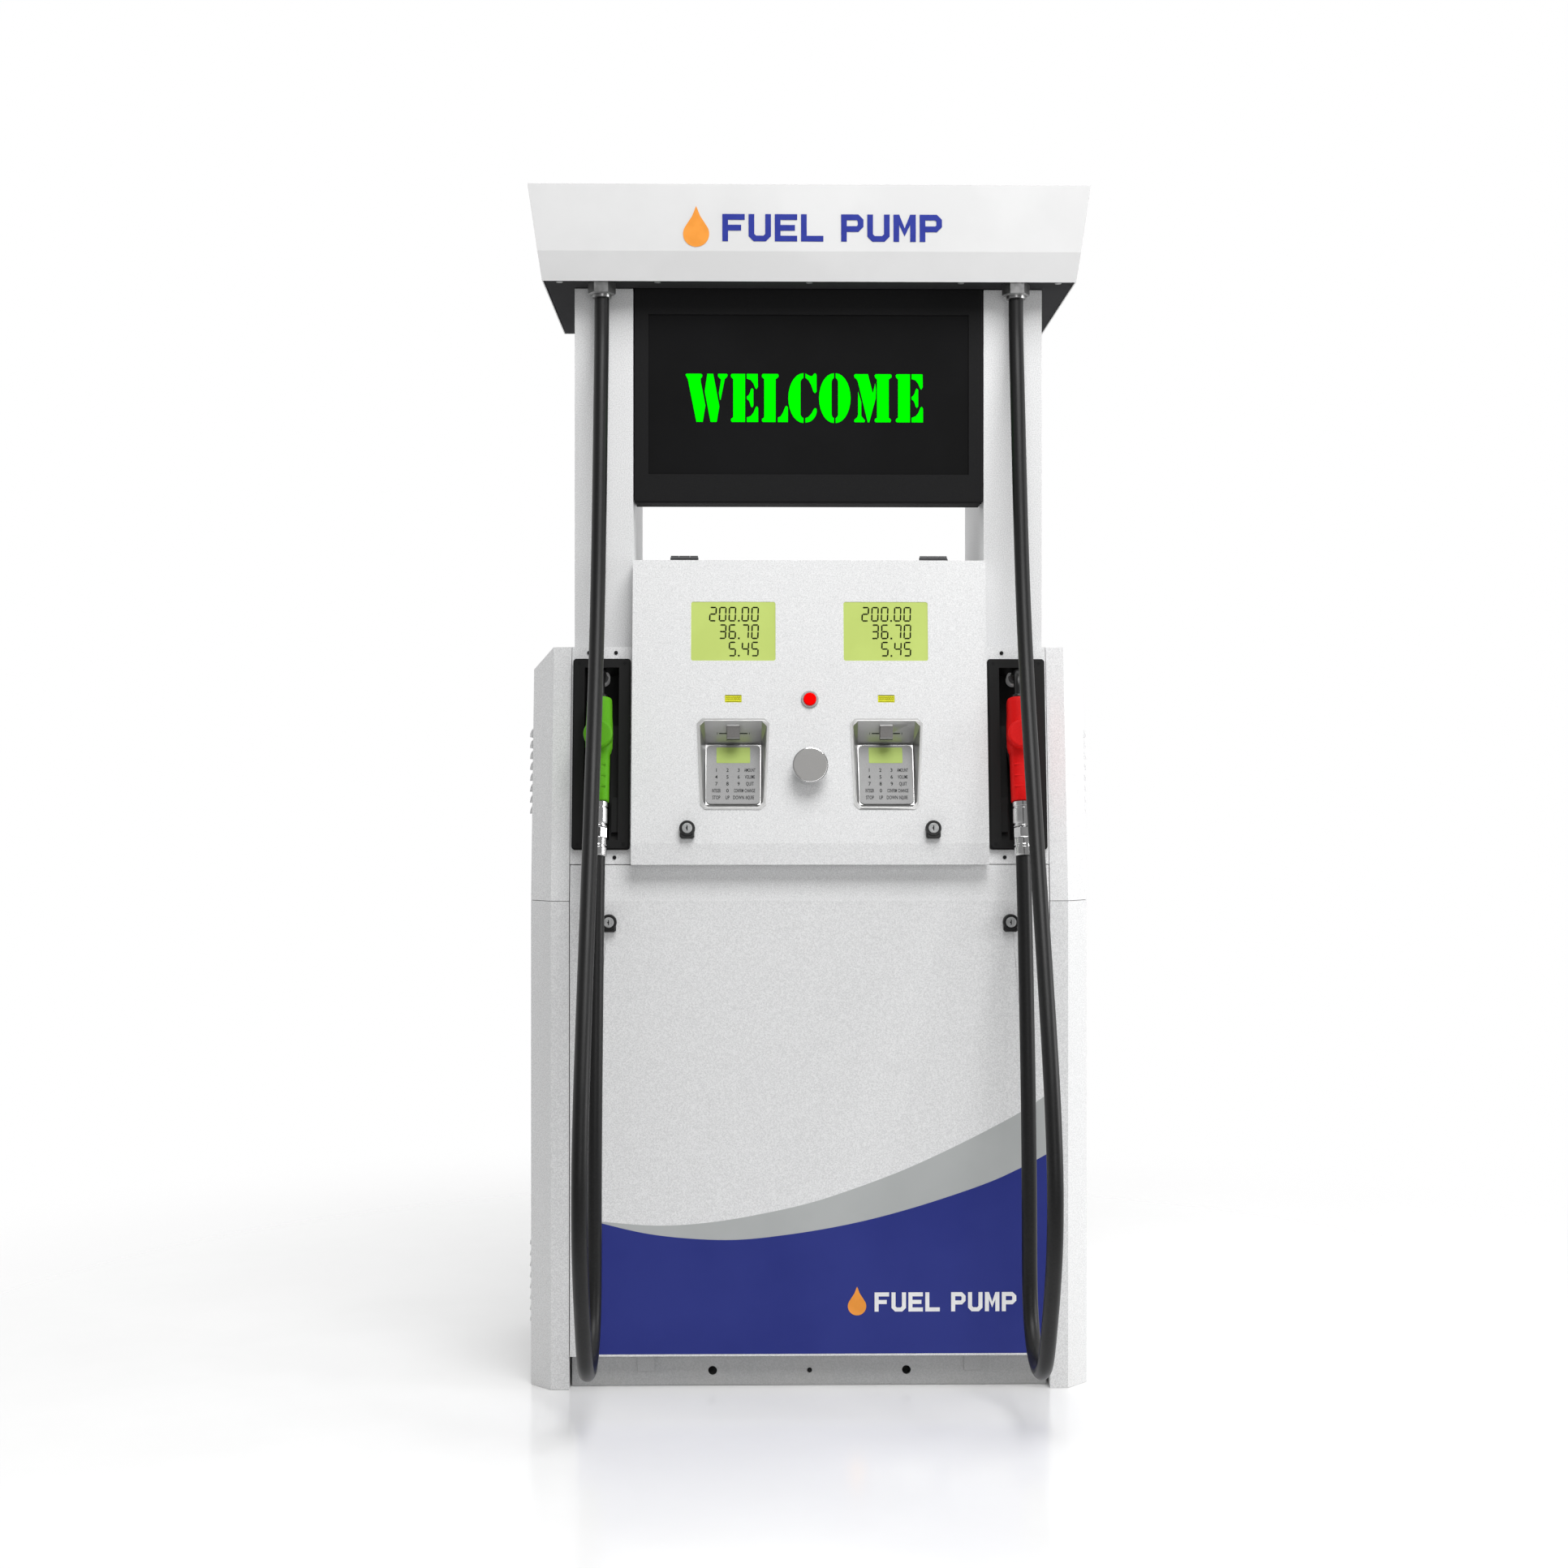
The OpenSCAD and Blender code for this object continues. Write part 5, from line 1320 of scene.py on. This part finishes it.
@dataclass
class Lock:
    """A cam lock: dark hood with a bright ring, and the turning plug with its keyway."""

    name: str
    place: Matrix
    body: str
    plug_body: str
    replaces_hood: bool

    def hood(self) -> None:
        """Make the hood that stays with the panel."""
        shape = Shape()
        lower = [(13.0 * math.cos(a), 13.0 * math.sin(a)) for a in [math.pi * k / 14 for k in range(15)]]
        outline = [*lower, (-13.0, -15.0), (-10.0, -18.0), (10.0, -18.0), (13.0, -15.0)]
        shape.slab(outline, 0.1, 12.0, self.place, 2.0)
        shape.lathe([(14.4, 3.0), (14.4, 12.0), (13.4, 13.8), (10.6, 13.9), (10.2, 13.0), (10.2, 3.0)], self.place, 40,
                    closed=True)
        shape.piece(f"{self.name}_hood", PLASTIC_BLACK, self.body, "lock_black", 30.0,
                    "lock_housings" if self.replaces_hood else None)

    def plug(self) -> None:
        """Make the plug, its ring, the keyway and the cam behind the sheet; the keyway is a dark sheet of painted shade
        on the plug face.
        """
        shape = Shape().lathe([(7.9, -14.0), (7.9, 7.9), (9.4, 8.1), (9.4, 15.0), (8.6, 15.9), (8.0, 16.0),
                               (7.0, 16.0), (0.01, 16.0)],
                              self.place, 40)
        box_slab(shape, (-7.0, -26.0, -15.0), (7.0, 8.0, -12.0), self.place)
        shape.lathe([(5.9, -18.0), (5.9, -14.0)], self.place, 6)
        shape.piece(f"{self.name}_plug", LOCK_METAL, self.plug_body, "lock_metal", 30.0, self.plug_body)
        # Keyway: dark ink sheet laid on the plug face, painted shade standing in for the shaded keyhole opening.
        key = Shape()
        box_slab(key, (-0.9, -4.6, 15.98), (0.9, 4.6, 16.12), self.place)
        box_slab(key, (-2.2, -1.2, 15.98), (0.0, 1.2, 16.12), self.place)
        key.piece(f"{self.name}_keyway", INK_DARK, self.plug_body, "lock_metal")

    def build(self) -> None:
        """Make the hood and the plug."""
        self.hood()
        self.plug()


@dataclass
class Buttons:
    """The palm button and the red button between the two sides."""

    palm_z: float = 1134.0
    red_z: float = 1258.0

    def build(self) -> None:
        """Make both buttons with their collars."""
        palm = LAY.on_door(0.0, self.palm_z)
        shape = Shape().lathe([(14.0, -16.0), (14.0, 20.0), (31.2, 20.0), (32.4, 21.4), (32.5, 28.6), (32.1, 29.9),
                               (31.0, 30.6), (30.2, 30.7)], palm, 96)
        shape.piece("palm_button_rim", CHROME, "palm_button", "palm_grey", sharp=35.0)
        face = Shape().lathe([(30.6, 29.0), (30.4, 30.6), (29.6, 30.95), (29.0, 31.0), (27.5, 31.0),
                              (0.01, 31.0)], palm, 96)
        face.piece("palm_button_face", PALM_GREY, "palm_button", "palm_grey", 50.0, "palm_button")
        collar = Shape().lathe([(21.5, -9.5), (21.5, 0.0), (26.0, 0.1), (25.8, 5.0), (24.2, 9.4), (22.5, 10.0),
                                (14.6, 10.0), (14.4, 0.0), (14.4, -9.5)], palm, 64, closed=True)
        red = LAY.on_door(0.0, self.red_z)
        collar.lathe([(12.8, -15.0), (12.8, 0.0), (16.0, 0.1), (15.9, 2.0), (14.9, 3.4), (12.6, 3.5), (11.7, 3.0),
                      (11.7, -15.0)], red, 64, closed=True)
        collar.piece("button_collars_turned", LOCK_METAL, "control_door", "lock_metal", 30.0, "button_collars")
        cap = Shape().lathe([(11.4, -12.0), (11.4, 5.0), (10.9, 6.2), (9.6, 6.9), (5.0, 7.0), (0.01, 7.0)], red, 64)
        cap.piece("red_button_cap", BUTTON_RED, "red_button", "button_red", 50.0, "red_button")


# ---------------------------------------------------------------- head


def arc(cx: float, cy: float, rx: float, ry: float, start: float, end: float, steps: int = 14) -> list[Flat]:
    """Return points of an elliptic arc between two angles in degrees."""
    return [(cx + rx * math.cos(math.radians(start + (end - start) * k / steps)),
             cy + ry * math.sin(math.radians(start + (end - start) * k / steps))) for k in range(steps + 1)]


def stem(x: float, wide: float, foot: bool = True, left: bool = True, right: bool = False) -> list[Flat]:
    """Return a thick upright stroke with rounded slab serifs, 90 mm tall.

    Args:
        x: Left edge of the stroke.
        wide: Width of the stroke.
        foot: Whether the right edge has a serif at the foot.
        left: Whether the left edge has serifs.
        right: Whether the right edge has a serif at the head.

    Returns:
        The outline.
    """
    out = 4.5
    edge = x + wide
    points: list[Flat] = [(x - out + 2.2, 0.0)] if left else [(x, 0.0)]
    if foot and right:
        points += [(edge + out - 2.0, 0.0), (edge + out, 2.4), (edge + out - 0.6, 5.5), (edge, 9.0)]
    else:
        points.append((edge, 0.0))
    if right:
        points += [(edge, 80.0), (edge + out + 1.0, 84.5), (edge + out + 1.0, 88.0), (edge + out - 1.0, 90.0)]
    else:
        points.append((edge, 90.0))
    points += [(x - out + 2.2, 90.0), (x - out, 87.6), (x - out + 0.6, 84.0), (x, 80.0), (x, 9.0),
               (x - out + 0.6, 6.0), (x - out, 2.4)] if left else [(x, 90.0)]
    return points


@dataclass(frozen=True)
class StencilWord:
    """The greeting on the screen, cut as stencil letters 90 mm tall."""

    left: float
    low: float

    def letters(self) -> list[list[Flat]]:
        """Return the outlines of every stroke, from the word's lower left corner."""
        e_arms: list[list[Flat]] = [
            [(29.5, 90), (50, 90), (50.5, 66), (48, 61.5), (45.5, 63), (42, 72), (37, 78.5), (29.5, 81)],
            [(29.5, 47.5), (33.5, 51), (35.5, 55), (37, 61), (39.5, 63.5), (42, 61), (42, 30), (39.5, 27), (37, 29.5),
             (35.5, 35.5), (33.5, 40), (29.5, 43)],
            [(29.5, 0), (51, 0), (51, 26), (48.5, 29.5), (46, 27.5), (42, 17.5), (37, 11.5), (29.5, 8.5)]]
        e_stroke = stem(4.2, 22.3)
        word: list[list[Flat]] = [
            [(2.0, 90), (29.5, 90), (32, 87.5), (31, 83.5), (28.5, 80.5), (29, 74), (37.5, 31), (32.5, 0), (20.5, 0),
             (4.5, 80), (1.5, 85.5), (0, 88)],
            [(41, 90), (52, 90), (63.5, 29), (58.5, 0), (47, 0), (36, 57)],
            [(61.5, 90), (77, 90), (79, 88), (78, 84.5), (73.5, 80), (66, 42), (64.5, 41), (62.5, 54), (66.5, 79),
             (61, 84.5), (60.5, 88)]]
        for x in (85.0, 393.0):
            word += [[(x + a, b) for a, b in part] for part in (e_stroke, *e_arms)]
        word += [stem(147.0, 21.5, foot=False, right=True),
                 [(172.5, 0), (191.5, 0), (191.5, 28), (189, 30.5), (186.5, 29), (182, 17.5), (178, 11), (172.5, 8.5)],
                 [*arc(220.5, 45, 28.5, 46.5, 90, 270), (220.5, 7.5), (217, 10), (215, 14), (215, 76), (217, 80),
                  (220.5, 83)],
                 [(224, 91), (232, 86.5), (237, 86), (240.5, 91), (243.5, 91), (245, 88), (245, 57), (242, 54),
                  (239, 57), (235, 69), (230, 78), (224, 83)],
                 [(224, -1), *arc(224, 23, 21.5, 24, -70, -8, 6), (245, 25), (242.5, 26.5), (240, 25), (236, 17),
                  (230, 10), (224, 7.5)],
                 [*arc(277.5, 45, 28, 46.5, 90, 270), (277.5, 7.5), (274.5, 10), (273, 14), (273, 76), (274.5, 80),
                  (277.5, 83)],
                 [(280.5, 83), (283.5, 80), (285, 76), (285, 14), (283.5, 10), (280.5, 7.5),
                  *arc(280.5, 45, 28, 46.5, -90, 90)],
                 [(317, 90), (341, 90), (350, 54), (354.5, 73), (356, 60), (355.5, 45), (343.5, 0), (340.5, 0),
                  (322, 76), (320, 80), (315.5, 84), (315, 88)],
                 [(322.5, 58), (328.5, 38), (328.5, 12), (333, 6.5), (335.5, 4), (335, 0.5), (333, 0), (317, 0),
                  (315, 1.5), (315.5, 5), (320.5, 9), (322.5, 14)],
                 stem(357.8, 22.0, right=True)]
        return word

    def build(self) -> None:
        """Make the lit letters on the screen glass."""
        place = plane_at(self.left, low_high("display_glass")[0].y, self.low)
        shape = Shape()
        for outline in self.letters():
            shape.slab(outline, 0.05, 0.5, place)
        shape.piece("screen_greeting", LED_GREEN, "root", "screen_glass")


def drop_icon(shape: Shape, place: Matrix, tall: float, high: float = 0.3) -> None:
    """Add a plain fuel drop with a highlight shape raised on it in the same ink.

    Args:
        shape: Shape that gets the drop.
        place: Frame of the face, at the drop's middle.
        tall: Height of the drop.
        high: How far it stands off the face.
    """
    r = tall * 0.32
    body = arc(0.0, -tall / 2 + r, r, r, 150, 390, 28)
    outline = [*body, (0.30 * r, tall * 0.26), (0.0, tall / 2), (-0.30 * r, tall * 0.26)]
    shape.slab(outline, PRINT_LIFT, high, place)
    outer, inner = r * 0.72, r * 0.52
    glint = [*arc(0.0, -tall / 2 + r, outer, outer, 185, 250, 8), *arc(0.0, -tall / 2 + r, inner, inner, 250, 185, 8)]
    shape.slab(glint, high, high + 0.01, place)


def block_letter(mark: str, tall: float, wide: float, stroke: float) -> list[list[Flat]]:
    """Return the outlines of one plain block letter.

    Args:
        mark: One of F, U, E, L, P and M.
        tall: Height of the letter.
        wide: Width of the letter.
        stroke: Width of a stroke.

    Returns:
        Outlines that touch but don't overlap, from the letter's lower left corner.
    """
    h, w, t = tall, wide, stroke
    low, high = (h - t) / 2, (h + t) / 2
    cut = t * 0.9
    letters: dict[str, list[list[Flat]]] = {
        "F": [[(0, 0), (t, 0), (t, low), (w * 0.84, low), (w * 0.84, high), (t, high), (t, h - t), (w, h - t), (w, h),
               (0, h)]],
        "E": [[(0, 0), (w, 0), (w, t), (t, t), (t, low), (w * 0.9, low), (w * 0.9, high), (t, high), (t, h - t),
               (w, h - t), (w, h), (0, h)]],
        "L": [[(0, 0), (w, 0), (w, t), (t, t), (t, h), (0, h)]],
        "U": [[(0, cut), (cut, 0), (w - cut, 0), (w, cut), (w, h), (w - t, h), (w - t, t + cut * 0.35),
               (w - t - cut * 0.35, t), (t + cut * 0.35, t), (t, t + cut * 0.35), (t, h), (0, h)]],
        "P": [[(0, 0), (t, 0), (t, h), (0, h)],
              [(t, h * 0.36), (w - cut, h * 0.36), (w, h * 0.36 + cut), (w, h - cut), (w - cut, h), (t, h),
               (t, h - t), (w - t - cut * 0.2, h - t), (w - t, h - t - cut * 0.2), (w - t, h * 0.36 + t + cut * 0.2),
               (w - t - cut * 0.2, h * 0.36 + t), (t, h * 0.36 + t)]],
        "M": [[(0, 0), (t, 0), (t, h * 0.62), (w / 2, h * 0.2), (w - t, h * 0.62), (w - t, 0), (w, 0), (w, h),
               (w - t, h), (w / 2, h * 0.5), (t, h), (0, h)]]}
    return letters[mark]


@dataclass(frozen=True)
class Sign:
    """A generic word in block letters with a plain drop beside it."""

    name: str
    text: str
    place: Matrix
    tall: float
    left: float
    right: float
    icon_x: float
    ink: Finish
    body: str
    slot: str

    def build(self) -> None:
        """Make the word and the drop."""
        gap = 0.17
        space = 0.45
        units = sum(space if mark == " " else 1.0 for mark in self.text) + gap * (len(self.text) - 1)
        wide = (self.right - self.left) / units
        word = Shape()
        x = self.left
        for mark in self.text:
            if mark != " ":
                for outline in block_letter(mark, self.tall, wide, self.tall * 0.21):
                    word.slab(outline, PRINT_LIFT, 0.3, self.place @ shift(x, -self.tall / 2, 0.0))
            x += wide * (gap + (space if mark == " " else 1.0))
        word.piece(f"{self.name}_word", self.ink, self.body, self.slot)
        drop = Shape()
        drop_icon(drop, self.place @ shift(self.icon_x, 2.0, 0.0), self.tall * 1.5)
        drop.piece(f"{self.name}_drop", INK_ORANGE, self.body, self.slot)


# ---------------------------------------------------------------- livery


@dataclass(frozen=True)
class Livery:
    """The two-colour swoosh of thin vinyl on the lower front panel."""

    grey_edge: tuple[Flat, ...] = ((-430, 312), (-379, 306), (-278, 298.5), (-183.5, 304), (-90, 319), (3, 340),
                                   (95, 370), (189, 406.5), (292, 455), (383, 503), (436, 538))
    blue_edge: tuple[Flat, ...] = ((-430, 320), (-379, 303), (-278, 281), (-152.5, 272), (-44, 281), (75, 301),
                                   (189, 330), (314, 371), (385, 402), (436, 429))
    foot: float = 64.0
    left: float = -425.0
    right: float = 436.0
    grey_left: float = -379.0

    def _line(self, knots: tuple[Flat, ...]) -> list[Flat]:
        """Return a smooth edge through its knots."""
        return [(p.x, p.y) for p in smooth_path([(x, z, 0.0) for x, z in knots], 8)]

    def build(self) -> None:
        """Make the grey and the blue sheet."""
        place = plane_at(0.0, -LAY.half_depth, 0.0)
        blue, grey = self._line(self.blue_edge), self._line(self.grey_edge)
        below, above = [[p for p in line if p[0] > self.grey_left] for line in (blue, grey)]
        upper = Shape().slab([(self.grey_left, 303.0), *below, *reversed(above), (self.grey_left, 306.0)],
                             PRINT_LIFT, 0.18, place)
        upper.piece("livery_grey", VINYL_GREY, "front_panel", "white_powder_coat")
        lower = Shape().slab([(self.left, self.foot), (self.right, self.foot),
                              *reversed([p for p in blue if p[0] > self.left])], PRINT_LIFT, 0.22, place)
        lower.piece("livery_blue", VINYL_BLUE, "front_panel", "white_powder_coat")


# ---------------------------------------------------------------- cabinet dressing


def soften(obj: bpy.types.Object, width: float, segments: int = 2) -> None:
    """Weld a CAD mesh and round its sharp edges with modifiers.

    Args:
        obj: CAD object.
        width: Width of the rounding, in millimetres.
        segments: Steps of the rounding.
    """
    weld = obj.modifiers.new("weld", "WELD")
    weld.merge_threshold = 1e-5
    bevel = obj.modifiers.new("bevel", "BEVEL")
    bevel.width = width * MM
    bevel.segments = segments
    bevel.limit_method = "ANGLE"
    bevel.angle_limit = math.radians(50)
    bevel.harden_normals = True
    bevel.use_clamp_overlap = True


@dataclass
class Cabinet:
    """Finishes of the CAD parts and the small hardware that isn't in the CAD."""

    rounding: dict[str, float] = field(default_factory=lambda: {
        "front_panel": 1.0, "rear_panel": 1.0, "canopy_shell": 1.2, "boot_left": 1.8,
        "boot_right": 1.8, "base_frame": 0.8, "display_housing": 1.0, "motor": 2.0, "pump_unit": 2.0,
        "flow_meters": 1.5, "junction_box": 2.0, "column_left": 1.5, "column_right": 1.5,
        "solenoid_valves": 1.0, "keypad_bowls": 0.6})

    def finishes(self) -> None:
        """Give every visible CAD node its finish."""
        for finish, nodes in NODE_FINISH.items():
            for node in nodes:
                dress(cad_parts[node], finish)
        for node, width in self.rounding.items():
            soften(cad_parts[node], width)

    def boots(self) -> None:
        """Make the chrome seat ring, the screws and the rest pads of each boot."""
        pads, screws = [], []
        for side, sign in SIDES:
            boot = LAY.on_front(sign * BOOT_X, BOOT_Z)
            seat = boot @ shift(2.0 * sign, BOOT_SEAT, -40.0)
            # The seat ring's faint glow is a painted highlight standing in for light on the chrome in the boot's shade.
            ring = Shape().lathe([(10.4, -34.0), (10.4, 0.0), (11.4, 1.2), (12.8, 1.6), (13.8, 0.9), (14.0, -0.6),
                                  (13.4, -1.8), (12.4, -2.2), (12.4, -34.0)], seat, 48, closed=True)
            ring.piece(f"seat_ring_{side}", SEAT_METAL_PAINTED_GLINT, "root", "chrome", sharp=40.0)
            for x in (-42.0, 42.0):
                for z in (-168.0, 168.0):
                    screws.append(boot @ shift(x, z, 11.0))
            for x in (-25.0, 25.0):
                for z in (1346.0, 969.0):
                    pads.append(LAY.on_front(sign * BOOT_X + x, z) @ shift(0.0, 0.0, 0.2))
        Bolts("boot_fixings", "root", "lock_black", BEZEL_BLACK, radius=3.5, height=1.4, corners=24).set_on(pads)
        Bolts("boot_screws", "root", "boot_black", BEZEL_BLACK, radius=3.2, height=1.0, corners=20).set_on(screws)

    def hardware(self) -> None:
        """Make bolts, fins and other repeated hardware inside and behind."""
        low, high = low_high("motor")
        middle = (low + high) / 2
        Row("motor_fins_top", "root", "cast_grey", CAST_GREY, (low.x + 45, middle.y, high.z - 6), (9.0, 0, 0), 16,
            (2.4, 70.0, 9.0)).build()
        Row("motor_fins_front", "root", "cast_grey", CAST_GREY, (low.x + 45, low.y + 5, middle.z), (9.0, 0, 0), 16,
            (2.4, 9.0, 66.0)).build()
        heights = [BOOT_Z + z * math.cos(LAY.lean) for z in (-185.0, 185.0)]
        rear = [plane_at(x, -LAY.front_y(z), z, LAY.lean, math.pi) for x in (-420.0, 420.0) for z in heights]
        Bolts("rear_panel_screws", "root", "lock_metal", LOCK_METAL, radius=5.0, height=2.2, washer=7.0).set_on(rear)
        base = [plane_at(0.0, -242.8, 27.0)]
        Bolts("kick_plate_screw", "root", "lock_black", BEZEL_BLACK, radius=4.2, height=0.8, corners=24).set_on(base)
        under = low_high("canopy_underside")[0].z
        down = Matrix.Rotation(math.pi, 4, "X")
        spots = [Matrix.Translation((x * MM, y * MM, under * MM)) @ down @ SCALE
                 for x in (-460.0, -280.0, 0.0, 280.0, 460.0) for y in (-224.0, 224.0)]
        Bolts("canopy_screws", "root", "lock_metal", LOCK_METAL, radius=4.5, height=0.9, washer=6.0).set_on(spots)
        pump_low, pump_high = low_high("pump_unit")
        covers = [plane_at(x, pump_low.y, z) for x in (pump_low.x + 14, pump_high.x - 14)
                  for z in (pump_low.z + 60, (pump_low.z + pump_high.z) / 2 + 20, pump_high.z - 60)]
        Bolts("pump_bolts", "root", "pipe_steel", PIPE_STEEL, radius=7.0, height=4.0, washer=10.0).set_on(covers)

    def vents(self) -> None:
        """Make the drip edge under the screen housing."""
        low, high = low_high("display_housing")
        shape = Shape()
        box_slab(shape, (low.x + 2, low.y + 1, low.z - 3.0), (high.x - 2, low.y + 6, low.z + 0.5))
        shape.piece("screen_drip_edge", BEZEL_BLACK, "root", "bezel_black")


# ---------------------------------------------------------------- whole scene


@dataclass
class Dispenser:
    """Everything that makes up the picture."""

    studio: Studio = field(default_factory=Studio)
    hoses: list[Hose] = field(default_factory=lambda: [Hose(side, sign) for side, sign in SIDES])
    nozzles: list[Nozzle] = field(default_factory=lambda: [
        Nozzle("left", -1.0, COVER_GREEN, "nozzle_green"), Nozzle("right", 1.0, COVER_RED, "nozzle_red")])

    def locks(self) -> list[Lock]:
        """Return the four front locks."""
        door = [Lock(f"door_lock_{side}", LAY.on_door(sign * DOOR_LOCK[0], DOOR_LOCK[1]), "control_door",
                     f"door_lock_{side}", True) for side, sign in SIDES]
        panel = [Lock(f"panel_lock_{side}", LAY.on_panel(sign * PANEL_LOCK[0], PANEL_LOCK[1]), "front_panel",
                      f"panel_lock_{side}", False) for side, sign in SIDES]
        return door + panel

    def signs(self) -> list[Sign]:
        """Return the canopy's and the front panel's marks."""
        canopy = plane_at(0.0, -248.2, 2123.0)
        panel = plane_at(0.0, -LAY.half_depth - 0.24, 158.0)
        return [Sign("canopy_sign", "FUEL PUMP", canopy, 50.0, -160.0, 243.0, -208.0, INK_BLUE, "root", "canopy_white"),
                Sign("panel_sign", "FUEL PUMP", panel, 35.0, 118.0, 377.0, 86.0, INK_WHITE, "front_panel",
                     "white_powder_coat")]

    def build(self) -> None:
        """Build the picture, camera and hoses first."""
        self.studio.camera()
        for hose in self.hoses:
            hose.tube()
            hose.outlet()
        self.studio.light()
        self.studio.floor()
        Cabinet().finishes()
        for nozzle in self.nozzles:
            nozzle.build()
        for side, sign in SIDES:
            SideControls(side, sign).build()
        Buttons().build()
        for lock in self.locks():
            lock.build()
        StencilWord(left=-230.0, low=1779.0).build()
        for sign in self.signs():
            sign.build()
        Livery().build()
        cabinet = Cabinet()
        cabinet.boots()
        cabinet.hardware()
        cabinet.vents()


def main() -> None:
    """Build and finish the scene."""
    logging.basicConfig(level=logging.INFO, format="%(name)s: %(message)s")
    Dispenser().build()


if __name__ == "__main__":
    main()
